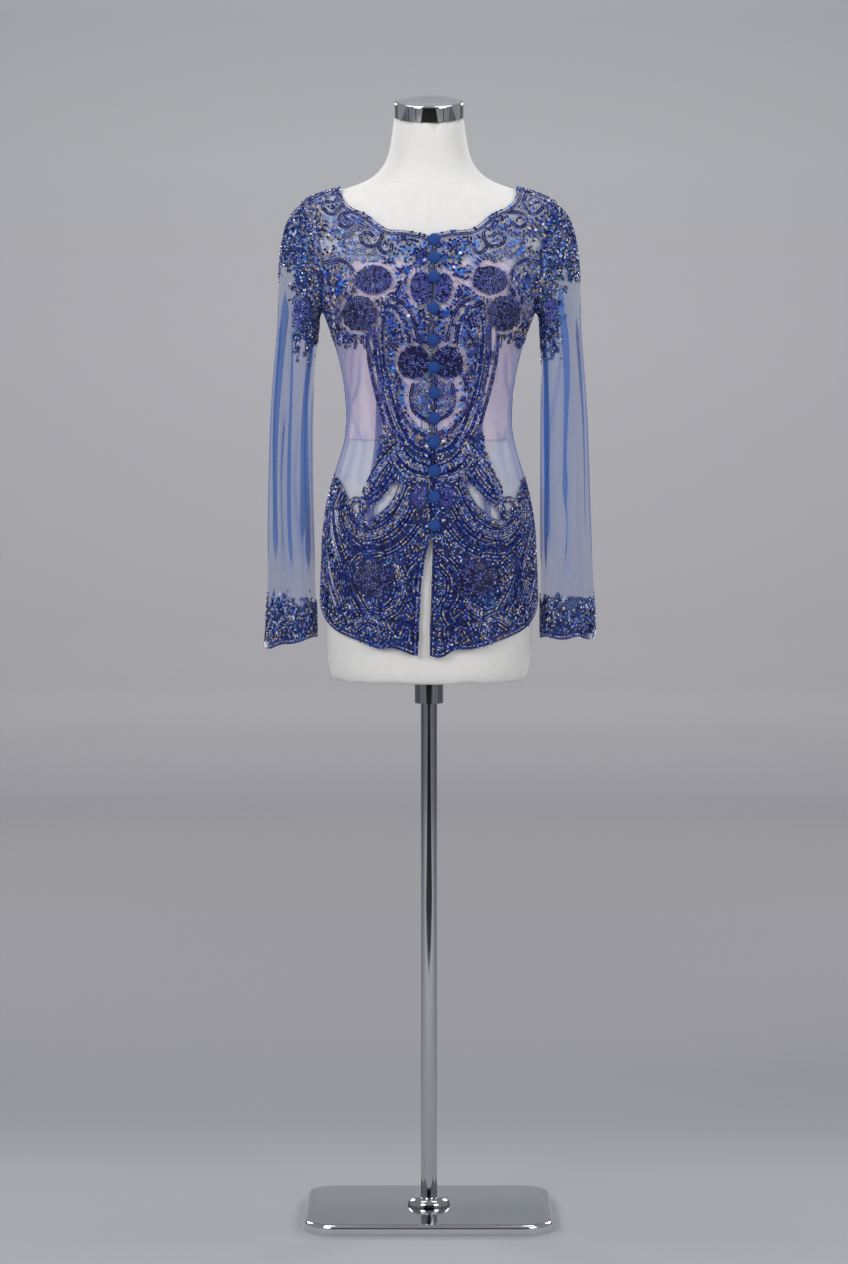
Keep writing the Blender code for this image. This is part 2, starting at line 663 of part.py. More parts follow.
def beside_armhole(place, inward):
    """The point across the seam gap from a place on the armhole's edge."""
    point = cloth_point(*place, inward)
    return point + (ARMHOLE_CENTRE - point).normalized() * SEAM_GAP


def inner_skin(rows, thickness):
    """The points that lie a cloth's thickness inside a tube, whose rows run round it and down."""
    inside = []
    for j, row in enumerate(rows):
        above, below = rows[max(j - 1, 0)], rows[min(j + 1, len(rows) - 1)]
        inside.append([
            point + (below[i] - above[i]).cross(row[(i + 1) % len(row)] - row[i - 1]).normalized() * thickness
            for i, point in enumerate(row)
        ])
    return inside


def sleeve(name, side, material, collection):
    outside = sleeve_points(side)
    inside = inner_skin(outside, CLOTH)
    inside[0] = [beside_armhole(place, CLOTH) for place in sleeve_turns()[0]]
    skins = [[on_side([row + row[:1] for row in skin], side)] for skin in (outside, inside)]
    return wall(name, *skins, material, collection)


# ---- turned and moulded pieces ---------------------------------------------------------------
def turned(name, profile, steps, material, collection):
    """A piece turned round Z from a profile of (radius, height), which runs down its outer side."""
    bm = bmesh.new()
    points = [bm.verts.new((radius, 0, height)) for radius, height in profile]
    for a, b in zip(points, points[1:]):
        bm.edges.new((a, b))
    obj = object_from(bm, name, material, collection)
    screw = obj.modifiers.new("Turn", "SCREW")
    screw.steps = screw.render_steps = steps
    screw.use_merge_vertices = True
    screw.merge_threshold = 0.00001
    screw.use_smooth_shade = True
    return obj


def dress_form(material, collection):
    turns = [2 * math.pi * i / FORM_COLUMNS for i in range(FORM_COLUMNS + 1)]
    rows = len(TORSO) - 1
    bm = bmesh.new()
    bmesh.ops.create_grid(bm, x_segments=FORM_COLUMNS, y_segments=rows, size=1)
    for v in bm.verts:
        v.co = form_point(turns[round((v.co.x + 1) / 2 * FORM_COLUMNS)], round((v.co.y + 1) / 2 * rows))
    bmesh.ops.remove_doubles(bm, verts=bm.verts[:], dist=1e-6)
    bmesh.ops.holes_fill(bm, edges=[e for e in bm.edges if e.is_boundary], sides=0)
    bmesh.ops.recalc_face_normals(bm, faces=bm.faces[:])
    return object_from(bm, "dress_form", material, collection)


def neck_cap(material, collection):
    half = math.pi / 2
    edge_arc = [(CAP_RADIUS - CAP_EDGE + CAP_EDGE * math.cos(half * (1 - k / 3)),
                 CAP_BAND - CAP_EDGE + CAP_EDGE * math.sin(half * (1 - k / 3))) for k in range(4)]
    dome = [((CAP_RADIUS - CAP_EDGE) * k / 3, CAP_BAND + CAP_DOME * (1 - (k / 3) ** 2)) for k in range(3)]
    obj = turned("neck_cap", dome + edge_arc + [(CAP_RADIUS, 0), (0, 0)], 24, material, collection)
    tilt = Vector((0, -math.sin(NECK_LEAN), math.cos(NECK_LEAN)))
    obj.location = Vector((0, NECK_TOP_Y, NECK_TOP_Z)) + tilt * SEAT_GAP
    obj.rotation_euler = (NECK_LEAN, 0, 0)


def base_plate(material, collection):
    bm = bmesh.new()
    bmesh.ops.create_cube(bm, size=1)
    bmesh.ops.scale(bm, vec=(BASE_WIDTH, BASE_DEPTH, BASE_THICKNESS), verts=bm.verts)
    bmesh.ops.translate(bm, vec=(0, 0, BASE_THICKNESS / 2), verts=bm.verts)
    corners = [e for e in bm.edges if abs(e.verts[0].co.z - e.verts[1].co.z) > BASE_THICKNESS / 2]
    bmesh.ops.bevel(bm, geom=corners, offset=BASE_CORNER, segments=8, profile=0.5, affect="EDGES")
    rim = [e for e in bm.edges if all(v.co.z > BASE_THICKNESS - 1e-6 for v in e.verts)]
    bmesh.ops.bevel(bm, geom=rim, offset=BASE_EDGE, segments=3, profile=0.5, affect="EDGES")
    object_from(bm, "base_plate", material, collection)


def pole_and_fittings(material, collection):
    """The pole on the plate, the flange round its foot and the socket under the form."""
    bottom, top = BASE_THICKNESS + SEAT_GAP, TORSO[0].z - SOCKET_HEIGHT - SEAT_GAP
    pole = [(0, top), (POLE_RADIUS, top), (POLE_RADIUS, bottom), (0, bottom)]
    turned("pole", pole, 24, material, collection)

    inner, straight = POLE_RADIUS + SEAT_GAP, FLANGE_HEIGHT * 0.15
    flat_top = inner + FLANGE_RADIUS * 0.13
    quarter = [math.pi / 2 * k / 4 for k in range(5)]
    arc = [(flat_top + (FLANGE_RADIUS - flat_top) * math.sin(a),
            bottom + straight + (FLANGE_HEIGHT - straight) * math.cos(a)) for a in quarter]
    flange_top = (inner, bottom + FLANGE_HEIGHT)
    turned("base_flange", [flange_top, *arc, (FLANGE_RADIUS, bottom), (inner, bottom), flange_top], 24,
           material, collection)

    low, high = top + SEAT_GAP, TORSO[0].z - SEAT_GAP
    socket = [(0, high), (SOCKET_RADIUS, high), (SOCKET_RADIUS, low), (0, low)]
    turned("pole_socket", socket, 24, material, collection)


def flower(spec, material, collection):
    """A shallow dome whose underside follows the cloth."""
    skins = []
    for domed in (True, False):
        grid = []
        for ring in FLOWER_DOME:
            share, height, row = ring.share, ring.height if domed else FLOWER_GAP, []
            for k in range(FLOWER_STEPS):
                turn = 2 * math.pi * k / FLOWER_STEPS
                level = level_at(spec.z + spec.half_height * share * math.sin(turn))
                angle = angle_at_x(spec.x + spec.half_width * share * math.cos(turn), level)
                row.append(cloth_point(angle, level, -height))
            grid.append(row + row[:1])
        skins.append([on_side(grid, spec.side)])
    return wall(f"flower_{spec.name}", *skins, material, collection)


def dome_height(x, z):
    """How far the flowers stand off the cloth at a place on the front, or 0 beside them."""
    heights = [0.0]
    for f in FLOWERS:
        share = math.hypot((x * f.side - f.x) / f.half_width, (z - f.z) / f.half_height)
        if share < 1:
            heights.append(between(FLOWER_DOME, "share", "height", share))
    return max(heights)


def button_seat(z):
    """Where a button's back lies and which way it faces: just off the highest cloth or flower."""
    level = level_at(z)
    angle = angle_at_x(BUTTON_LINE_X, level)
    centre, facing = cloth_point(angle, level), form_normal(angle, level)
    highest = 0.0
    for k in range(16):
        turn = 2 * math.pi * k / 16
        x, rim_z = BUTTON_LINE_X + BUTTON_RADIUS * math.cos(turn), z + BUTTON_RADIUS * math.sin(turn)
        rim_level = level_at(rim_z)
        under = cloth_point(angle_at_x(x, rim_level), rim_level, -dome_height(x, rim_z))
        highest = max(highest, (under - centre).dot(facing))
    return centre + facing * (highest + BUTTON_GAP), facing


def buttons(material, collection):
    """Domed covered buttons, each flat behind and square to the cloth that it lies on."""
    profile = [(0, BUTTON_DOME), (BUTTON_RADIUS * 0.62, BUTTON_DOME * 0.82),
               (BUTTON_RADIUS, BUTTON_DOME * 0.30), (BUTTON_RADIUS * 0.90, 0), (0, 0)]
    first = turned("button_01", profile, BUTTON_STEPS, material, collection)
    for number, z in enumerate(BUTTON_Z, 1):
        button = first
        if number > 1:
            button = first.copy()
            button.name = f"button_{number:02d}"
            collection.objects.link(button)
        button.location, facing = button_seat(z)
        button.rotation_euler = facing.to_track_quat("Z", "Y").to_euler()


def build():
    for obj in list(bpy.data.objects):
        bpy.data.objects.remove(obj)
    parts = collection_for("kebaya_on_dress_form")
    tulle = material_for("blue_tulle", (0.035, 0.085, 0.36), 0.55, alpha=0.55)
    beaded = material_for("beaded_tulle", (0.030, 0.060, 0.30), 0.40)
    nude = material_for("nude_lining", (0.62, 0.44, 0.47), 0.50)
    linen = material_for("linen_cover", (0.82, 0.80, 0.76), 0.85)
    chrome = material_for("chrome", (0.80, 0.80, 0.82), 0.08, metallic=1.0)
    covered = material_for("covered_button", (0.030, 0.090, 0.32), 0.60)
    flowers = material_for("navy_bead_work", (0.016, 0.022, 0.14), 0.30)

    dress_form(linen, parts)
    neck_cap(chrome, parts)
    base_plate(chrome, parts)
    pole_and_fittings(chrome, parts)
    for side, word in ((1, "left"), (-1, "right")):
        cloth_panel(f"front_centre_{word}", centre_front(side), [side], ("right", "top"), beaded, parts)
        cloth_panel(f"front_side_{word}", side_front(), [side], ("left", "right", "top"), tulle, parts)
        sleeve(f"sleeve_{word}", side, tulle, parts)
        opening = angle_at_x(LINING_OPENING, level_at(LINING_BOTTOM_Z))
        places = lining_places(opening, SIDE_ANGLE, LINING_FRONT_COLUMNS)
        cloth_panel(f"lining_front_{word}", places, [side], ("right",), nude, parts, lining_inward, LINING)
    cloth_panel("back", half_back(), [1, -1], ("right", "top"), beaded, parts)
    places = lining_places(math.pi, SIDE_ANGLE, LINING_BACK_COLUMNS)
    cloth_panel("lining_back", places, [1, -1], ("right",), nude, parts, lining_inward, LINING)
    for spec in FLOWERS:
        flower(spec, flowers, parts)
    buttons(covered, parts)


build()
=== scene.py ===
import json
import math

import bmesh
import bpy
import numpy as np
from mathutils import Matrix, Vector, noise
from mathutils.bvhtree import BVHTree
from mathutils.kdtree import KDTree

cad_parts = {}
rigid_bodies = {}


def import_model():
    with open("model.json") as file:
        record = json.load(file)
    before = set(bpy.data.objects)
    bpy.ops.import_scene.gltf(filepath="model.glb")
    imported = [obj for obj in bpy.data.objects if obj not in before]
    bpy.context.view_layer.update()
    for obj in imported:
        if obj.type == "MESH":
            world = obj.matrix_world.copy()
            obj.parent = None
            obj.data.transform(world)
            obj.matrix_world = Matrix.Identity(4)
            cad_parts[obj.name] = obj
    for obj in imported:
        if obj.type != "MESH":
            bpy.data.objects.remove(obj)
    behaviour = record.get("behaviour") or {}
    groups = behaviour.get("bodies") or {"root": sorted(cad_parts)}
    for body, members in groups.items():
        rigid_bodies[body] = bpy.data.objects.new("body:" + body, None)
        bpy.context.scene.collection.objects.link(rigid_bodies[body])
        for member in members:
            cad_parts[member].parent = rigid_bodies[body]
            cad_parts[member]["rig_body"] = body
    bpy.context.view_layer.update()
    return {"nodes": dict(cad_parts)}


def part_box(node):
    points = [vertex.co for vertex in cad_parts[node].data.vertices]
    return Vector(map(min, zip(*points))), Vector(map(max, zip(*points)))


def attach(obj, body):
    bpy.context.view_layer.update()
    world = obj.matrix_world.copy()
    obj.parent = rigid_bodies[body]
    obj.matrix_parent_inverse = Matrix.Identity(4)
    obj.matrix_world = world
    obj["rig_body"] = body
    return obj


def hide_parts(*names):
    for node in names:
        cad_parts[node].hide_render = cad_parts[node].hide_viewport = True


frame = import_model()
nodes = frame["nodes"]
mm = 0.001
sides = ("Left", "Right")  # the wearer's
closureX = 5.1 * mm  # the closing line stands a little to the wearer's left
print("frame loaded:", len(nodes), "nodes")


# small helpers shared by every piece

def hexLinear(code):
    parts = [int(code[i:i + 2], 16) / 255 for i in (1, 3, 5)]
    return tuple(c / 12.92 if c <= 0.04045 else ((c + 0.055) / 1.055) ** 2.4 for c in parts)


def hexColour(code):
    return (*hexLinear(code), 1.0)


def setInputs(node, inputs):
    # each value is a number or colour, an output, or a node whose first output is meant
    for key, value in inputs.items():
        if isinstance(value, bpy.types.Node):
            value = value.outputs[0]
        if isinstance(value, bpy.types.NodeSocket):
            node.id_data.links.new(value, node.inputs[key])
        else:
            node.inputs[key].default_value = value


def addNode(tree, kind, inputs=None, stops=(), **settings):
    # stops: places along a colour ramp, with their hex colours
    node = tree.nodes.new(kind if tree.type == "GEOMETRY" else "ShaderNode" + kind)
    for name, value in settings.items():
        setattr(node, name, value)
    setInputs(node, inputs or {})
    while stops and len(node.color_ramp.elements) < len(stops):
        node.color_ramp.elements.new(0.5)
    for element, (place, code) in zip(node.color_ramp.elements if stops else (), stops):
        element.position = place
        element.color = hexColour(code)
    return node


def newMaterial(name, **values):
    # a Principled material whose named inputs hold the given values
    material = bpy.data.materials.new(name)
    material.use_nodes = True
    tree = material.node_tree
    shader = tree.nodes["Principled BSDF"]
    setInputs(shader, {key.replace("_", " "): value for key, value in values.items()})
    return material, tree, shader


def grainedMaterial(name, scale, detail, stops=(), bump=None, stretch=None, **values):
    # one noise tints the surface and may roughen it, by bump's strength and depth
    material, tree, shader = newMaterial(name, **values)
    place = addNode(tree, "TexCoord").outputs["Object"]
    if stretch:
        place = addNode(tree, "Mapping", {"Vector": place, "Scale": stretch})
    grain = addNode(tree, "TexNoise", {"Vector": place, "Scale": scale, "Detail": detail})
    if stops:
        setInputs(shader, {"Base Color": addNode(tree, "ValToRGB", {"Fac": grain}, stops)})
    if bump:
        raised = addNode(tree, "Bump", {"Height": grain, "Strength": bump[0], "Distance": bump[1]})
        setInputs(shader, {"Normal": raised})
    return material


def deselectAll():
    if bpy.context.object and bpy.context.object.mode != "OBJECT":
        bpy.ops.object.mode_set(mode="OBJECT")
    bpy.ops.object.select_all(action="DESELECT")


def makeActive(obj):
    deselectAll()
    obj.select_set(True)
    bpy.context.view_layer.objects.active = obj


def applyModifier(obj, kind, **settings):
    makeActive(obj)
    modifier = obj.modifiers.new(kind.title(), kind)
    for name, value in settings.items():
        setattr(modifier, name, value)
    bpy.ops.object.modifier_apply(modifier=modifier.name)


def settle(obj):
    # puts a finished piece's place into its mesh
    makeActive(obj)
    bpy.ops.object.transform_apply(location=True, rotation=True, scale=True)


def dress(obj, material):
    obj.data.materials.clear()
    obj.data.materials.append(material)
    if "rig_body" not in obj:
        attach(obj, "root")
    return obj


def linkObject(name, data):
    obj = bpy.data.objects.new(name, data)
    bpy.context.scene.collection.objects.link(obj)
    return obj


def meshPiece(name, points, faces):
    mesh = bpy.data.meshes.new(name)
    mesh.from_pydata(points, [], faces)
    return linkObject(name, mesh)


def cornersOf(obj):
    return np.array([v.co for v in obj.data.vertices])


def moveCorners(obj, co):
    obj.data.vertices.foreach_set("co", co.astype(np.float32).ravel())
    obj.data.update()


def writeShare(obj, name, share):
    # a share for each corner of the mesh, which a material reads by name
    values = np.asarray(share, np.float32)
    obj.data.attributes.new(name, "FLOAT", "POINT").data.foreach_set("value", values)


def openMesh(mesh):
    bm = bmesh.new()
    bm.from_mesh(mesh)
    return bm


def closeMesh(bm, mesh):
    bm.to_mesh(mesh)
    bm.free()


def joinTriangles(bm):
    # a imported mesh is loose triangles: joins them up, two by two
    bmesh.ops.remove_doubles(bm, verts=bm.verts[:], dist=0.01 * mm)
    bmesh.ops.join_triangles(bm, faces=bm.faces[:], angle_face_threshold=math.pi,
                             angle_shape_threshold=math.pi)


deselectAll()

# camera and studio

camera = {"place": (-0.00725, -6.0, 1.30), "tiltDown": 4.2013, "lens": 117.85, "sensor": 36.0}
cameraData = bpy.data.cameras.new("camera")
cameraData.sensor_fit = "VERTICAL"
cameraData.sensor_height = camera["sensor"]
cameraData.lens = camera["lens"]
cameraObject = linkObject("camera", cameraData)
cameraObject.location = camera["place"]
cameraObject.rotation_euler = (math.radians(90 - camera["tiltDown"]), 0, 0)
bpy.context.scene.camera = cameraObject

studio = {
    "floorHalf": 14.0, "wallY": 10.8, "wallHeight": 5.5, "sweep": 1.6,
    "world": "#dfe3ea", "worldStrength": 0.34,
    "lights": [  # name, place, aim, size, watts, spread in degrees
        ("keyLight", (-2.6, -3.4, 3.1), (0, 0, 1.15), (1.8, 2.2), 100, 180),
        ("fillLight", (2.9, -3.0, 2.5), (0, 0, 1.15), (1.8, 2.2), 61, 180),
        ("topLightLeft", (-1.05, 0.25, 4.3), (0, 0, 1.0), (0.9, 1.5), 20, 180),
        ("topLightRight", (1.05, 0.25, 4.3), (0, 0, 1.0), (0.9, 1.5), 20, 180),
        ("backLightLeft", (-3.2, 4.4, 3.0), (0, 0, 1.0), (1.6, 2.0), 45, 120),
        ("backLightRight", (3.2, 4.4, 3.0), (0, 0, 1.0), (1.6, 2.0), 45, 120),
        ("floorLight", (0.0, 6.0, 5.5), (0, 6.0, 0), (8.0, 5.2), 44, 70),
        ("wallLight", (0.0, 7.4, 5.5), (0, 10.8, 1.3), (8.0, 1.0), 150, 120),
    ],
    "darkCards": [  # painted shade for the chrome to mirror: near-black cards for the unlit end of the room and the floor round the camera, and the dark light stands: name, place, size
        ("roomEnd", (0, -8.0, 1.9), (9.0, 0.1, 3.8)),
        ("floorCloth", (0.1, -5.0, 0.01), (4.6, 5.2, 0.02)),
        ("standLeft", (-3.7, -3.6, 1.2), (0.16, 0.16, 2.4)),
        ("standFarLeft", (-5.2, -1.6, 1.2), (0.16, 0.16, 2.4)),
        ("standRight", (4.0, -3.3, 1.2), (0.22, 0.16, 2.4)),
        ("standFarRight", (5.4, -1.2, 1.2), (0.3, 0.16, 2.4)),
    ],
    "paper": [  # paper grey with painted shade: tones from the front of the floor back to the wall and up it
        (0.000, "#d8d8dc"), (0.080, "#a8a8ac"), (0.110, "#a5a6aa"), (0.121, "#9f9fa3"), (0.133, "#939397"),
        (0.147, "#909094"), (0.163, "#959499"), (0.202, "#99979c"), (0.227, "#9d9b9f"), (0.256, "#a9a8ac"),
        (0.291, "#b4b2b7"), (0.335, "#a5a4a8"), (0.440, "#a09ea2"), (0.575, "#a6a5a9"), (0.738, "#b2b1b5"),
        (0.821, "#adaeb1"), (0.945, "#9d9fa2"),
    ],
    # tones run over this height, and the floor counts as falling away at this rate from the sweep
    "paperFrom": -1.9, "paperTo": 2.8, "rise": 0.15,
}
bpy.ops.mesh.primitive_plane_add(size=2, location=(0, 0, 0))
backdrop = bpy.context.object
backdrop.name = "backdrop"
backdrop.scale = (studio["floorHalf"], studio["floorHalf"], 1)
bpy.ops.object.transform_apply(scale=True)
bm = openMesh(backdrop.data)
for v in bm.verts:
    if v.co.y > 0:
        v.co.y = studio["wallY"]
farEdge = [e for e in bm.edges if all(v.co.y > 0 for v in e.verts)]
for v in bmesh.ops.extrude_edge_only(bm, edges=farEdge)["geom"]:
    if isinstance(v, bmesh.types.BMVert):
        v.co.z = studio["wallHeight"]
foot = [e for e in bm.edges if all(abs(v.co.z) < 1e-6 and v.co.y > 1 for v in e.verts)]
bmesh.ops.bevel(bm, geom=foot, offset=studio["sweep"], segments=24, profile=0.5, affect="EDGES")
closeMesh(bm, backdrop.data)
backdrop.data.shade_smooth()
# grey paper, matt, with painted shade: darker where less light falls, at the join of wall and floor, and high
# on the wall
paper, tree, shader = newMaterial("studioPaper", Roughness=0.9)
axes = addNode(tree, "SeparateXYZ", {"Vector": addNode(tree, "TexCoord").outputs["Object"]})
footY = studio["wallY"] - studio["sweep"]
back = addNode(tree, "Math", {0: axes.outputs["Y"], 1: footY}, operation="SUBTRACT")
onFloor = addNode(tree, "Math", {0: back, 1: 0.0}, operation="MINIMUM")
along = addNode(tree, "Math", {0: onFloor, 1: studio["rise"], 2: axes.outputs["Z"]},
                operation="MULTIPLY_ADD")
part = addNode(tree, "MapRange",
               {"Value": along, "From Min": studio["paperFrom"], "From Max": studio["paperTo"]})
setInputs(shader, {"Base Color": addNode(tree, "ValToRGB", {"Fac": part}, studio["paper"])})
backdrop.data.materials.append(paper)

# near-black: painted shade of the unlit room, and the light stands' own dark colour
darkMaterial = newMaterial("darkRoom", Base_Color=hexColour("#1c1a1a"), Roughness=0.9)[0]
for name, place, size in studio["darkCards"]:
    bpy.ops.mesh.primitive_cube_add(size=1, location=place)
    card = bpy.context.object
    card.name = name
    card.scale = size
    card.data.materials.append(darkMaterial)
    card.visible_camera = card.visible_diffuse = card.visible_shadow = False  # only the chrome sees them
    card.visible_transmission = card.visible_volume_scatter = False

for name, place, aim, size, watts, spread in studio["lights"]:
    data = bpy.data.lights.new(name, "AREA")
    data.shape = "RECTANGLE"
    data.size, data.size_y = size
    data.energy = watts
    data.spread = math.radians(spread)
    lamp = linkObject(name, data)
    lamp.visible_camera = False
    lamp.location = place
    lamp.rotation_euler = (Vector(aim) - Vector(place)).to_track_quat("-Z", "Y").to_euler()
world = bpy.data.worlds.new("studio")
world.use_nodes = True
setInputs(world.node_tree.nodes["Background"],
          {"Color": hexColour(studio["world"]), "Strength": studio["worldStrength"]})
bpy.context.scene.world = world
bpy.context.scene.view_settings.view_transform = "Standard"
bpy.context.scene.cycles.transparent_max_bounces = 24
print("camera and studio ready")

# materials

# polished chrome plate: hard mirror with faint polishing haze
chromeMaterial, tree, shader = newMaterial("chromePlate", Base_Color=hexColour("#c6c8cb"), Metallic=1.0)
place = addNode(tree, "TexCoord").outputs["Object"]
haze = addNode(tree, "TexNoise", {"Vector": place, "Scale": 14.0, "Detail": 6.0})
rough = addNode(tree, "MapRange", {"Value": haze, "To Min": 0.035, "To Max": 0.10})
setInputs(shader, {"Roughness": rough})

# the neck cap: the same plating, tinted brighter than the pole's as painted light, with a brushed top
capMaterial, tree, shader = newMaterial("brushedChromeCap", Base_Color=hexColour("#e4e5e7"), Metallic=1.0)
brushed = addNode(tree, "Attribute", attribute_name="brushed").outputs["Fac"]
rough = addNode(tree, "MapRange", {"Value": brushed, "To Min": 0.06, "To Max": 0.38})
setInputs(shader, {"Roughness": rough})

# the same plating on the base, tinted as painted reflection: brighter at its edge, where it mirrors the pale
# floor, and darker and bluer on top, where it mirrors the dim room
baseMaterial, tree, shader = newMaterial("wornChromePlate", Metallic=1.0)
place = addNode(tree, "TexCoord").outputs["Object"]
haze = addNode(tree, "TexNoise", {"Vector": place, "Scale": 22.0, "Detail": 6.0})
rough = addNode(tree, "MapRange", {"Value": haze, "To Min": 0.06, "To Max": 0.16})
height = addNode(tree, "SeparateXYZ", {"Vector": place}).outputs["Z"]
shadedTop = addNode(tree, "MapRange", {"Value": height, "From Min": 14.8 * mm, "From Max": 15.9 * mm})
tone = addNode(tree, "ValToRGB", {"Fac": shadedTop}, [(0.0, "#dcdde0"), (1.0, "#a8acb4")])
setInputs(shader, {"Roughness": rough, "Base Color": tone})

# off-white linen cover over padding: fine crossed threads, a little slub, no gloss
linenMaterial, tree, shader = newMaterial("linenCover", Roughness=0.86, Sheen_Weight=0.12,
                                          Sheen_Roughness=0.5)
place = addNode(tree, "TexCoord").outputs["Object"]
threadSpacing = 1.1 * mm  # real thread 0.5 mm, drawn at double so that it shows
threads = {"Vector": place, "Scale": math.pi / (10 * threadSpacing), "Distortion": 1.2, "Detail": 2.0,
           "Detail Scale": 40.0}
warp, weft = [addNode(tree, "TexWave", threads, bands_direction=axis).outputs["Fac"] for axis in "XZ"]
weave = addNode(tree, "Math", {0: warp, 1: weft}, operation="MULTIPLY")
slub = addNode(tree, "TexNoise", {"Vector": place, "Scale": 60.0, "Detail": 5.0})
shade = addNode(tree, "Math", {0: weave, 1: slub}, operation="ADD")
tone = addNode(tree, "ValToRGB", {"Fac": shade}, [(0.15, "#e3e1dc"), (0.9, "#f0eeea")])
raised = addNode(tree, "Bump", {"Height": weave, "Strength": 0.25, "Distance": 0.3 * mm})
setInputs(shader, {"Base Color": tone, "Normal": raised})


def tulleMaterial(name, seeThrough, stops, stretch, cover=None, pressed=0.0):
    # nylon tulle: open net that takes a flat tint, with finer and looser bands running down it
    material, tree, shader = newMaterial(name, Roughness=0.62, Sheen_Weight=0.25, Sheen_Roughness=0.35,
                                         Specular_IOR_Level=0.25)
    place = addNode(tree, "TexCoord").outputs["Object"]
    stretched = addNode(tree, "Mapping", {"Vector": place, "Scale": stretch})
    bands = addNode(tree, "TexNoise", {"Vector": stretched, "Scale": 1.0, "Detail": 4.0, "Roughness": 0.6})
    tone = addNode(tree, "ValToRGB", {"Fac": bands}, stops)
    cells = addNode(tree, "TexVoronoi", {"Vector": place, "Scale": 1 / (1.6 * mm)},
                    feature="DISTANCE_TO_EDGE")
    thread = addNode(tree, "MapRange", {
        "Value": cells, "From Min": 0.0, "From Max": 0.30, "To Min": 0.10, "To Max": -0.05})
    holes = addNode(tree, "MapRange", {
        "Value": bands, "From Min": 0.3, "From Max": 0.7, "To Min": seeThrough[0], "To Max": seeThrough[1]})
    last = addNode(tree, "Math", {0: holes, 1: thread}, operation="ADD")
    if pressed:
        # the net's cells close where the cloth is pressed into a fold
        fold = addNode(tree, "Attribute", attribute_name="pressed").outputs["Fac"]
        last = addNode(tree, "Math", {0: fold, 1: pressed, 2: last}, operation="MULTIPLY_ADD")
    if cover:
        # couched thread under the bead work closes the net
        worked = addNode(tree, "Attribute", attribute_name="worked").outputs["Fac"]
        last = addNode(tree, "Math", {0: worked, 1: last}, operation="MAXIMUM")
        mixed = addNode(tree, "Mix", {0: worked, 6: tone, 7: hexColour(cover)}, data_type="RGBA")
        tone = mixed.outputs[2]
    setInputs(shader, {"Base Color": tone, "Alpha": last})
    return material


sleeveTulle = tulleMaterial("blueNylonTulle", (0.13, 0.22), [(0.3, "#467bc8"), (0.7, "#3264b4")],
                            (55, 55, 2.2), "#18204f", 0.36)
bodyTulle = tulleMaterial("beadedNylonTulle", (0.10, 0.17), [(0.3, "#6680d6"), (0.7, "#4b69c8")],
                          (60, 60, 3.0), "#1b2352", 0.34)
seamTulle = tulleMaterial("doubledTulleSeam", (0.56, 0.68), [(0.3, "#2f4b9c"), (0.7, "#243d8a")],
                          (60, 60, 3.0))
# nude stretch mesh lining, drawn smooth over the form
liningMaterial = grainedMaterial("nudeMeshLining", 1.0, 3.0, [(0.3, "#f8e8ea"), (0.7, "#ecd6dc")],
                                 stretch=(60, 60, 3), Roughness=0.55, Sheen_Weight=0.3, Sheen_Roughness=0.3)
# couched cord of dark rayon: it shows as a fine dark line where a motif's rows part
darkCord = grainedMaterial("darkRayonCord", 900.0, 1.0, bump=(0.5, 0.2 * mm),
                           Base_Color=hexColour("#14122c"), Roughness=0.6)
# satin stitch in violet-navy thread, packed under the flowers' beads
stitchMaterial = grainedMaterial("satinStitchThread", 650.0, 2.0, [(0.35, "#090a24"), (0.7, "#14153c")],
                                 (0.6, 0.4 * mm), Roughness=0.5, Sheen_Weight=0.3)
# blue satin crepe of the buttons: pebbled and dull
crepeMaterial = grainedMaterial("blueCrepe", 1100.0, 2.0, [(0.3, "#0a3a84"), (0.7, "#10448f")],
                                (0.35, 0.25 * mm), Roughness=0.78, Sheen_Weight=0.12, Sheen_Roughness=0.4)
# rolled edge of the net: violet-grey nylon thread, matt, slightly uneven
edgeThread = grainedMaterial("rolledNetEdge", 420.0, 2.0, [(0.35, "#56557f"), (0.65, "#8f8ca8")],
                             Roughness=0.7)
# button loops: blue rayon cord, round and a little shiny
loopCord = grainedMaterial("blueRayonLoop", 800.0, 1.0, [(0.35, "#1a3578"), (0.65, "#2a4f9c")],
                           Roughness=0.45, Sheen_Weight=0.2)
# coloured glass beads: hard, clear and small, each with a bright point of light; the palest colours among
# them are painted highlights
glassMaterial, tree, shader = newMaterial("colouredGlassBeads", Roughness=0.18, IOR=1.52)
setInputs(shader, {"Base Color": addNode(tree, "Attribute", attribute_name="glassColour")})
print("materials ready")

# cloth shells: one skin of each packed wall, made finer

panels = {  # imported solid, cloth, then what it was cut to: width, length and area in metres
    "frontCentreLeft": ("front_centre_left", "beaded", 0.165, 0.70, 0.062),
    "frontCentreRight": ("front_centre_right", "beaded", 0.170, 0.70, 0.065),
    "frontSideLeft": ("front_side_left", "plain", 0.135, 0.55, 0.057),
    "frontSideRight": ("front_side_right", "plain", 0.135, 0.55, 0.057),
    "backPanel": ("back", "beaded", 0.450, 0.62, 0.226),
    "sleeveLeft": ("sleeve_left", "sleeve", 0.360, 0.64, 0.168),
    "sleeveRight": ("sleeve_right", "sleeve", 0.360, 0.65, 0.168),
    "liningFrontLeft": ("lining_front_left", "lining", 0.190, 0.26, 0.042),
    "liningFrontRight": ("lining_front_right", "lining", 0.190, 0.26, 0.042),
    "liningBack": ("lining_back", "lining", 0.360, 0.18, 0.060),
}
cloths = {  # material, slot, levels of smoothing, how it is held
    "beaded": (bodyTulle, "beaded_tulle", 2, "draped"), "plain": (bodyTulle, "tulle", 3, "draped"),
    "sleeve": (sleeveTulle, "tulle", 3, "hung"), "lining": (liningMaterial, "lining", 2, "stretched"),
}
bodyNames, sleeveNames = tuple(panels)[:5], tuple(panels)[5:7]


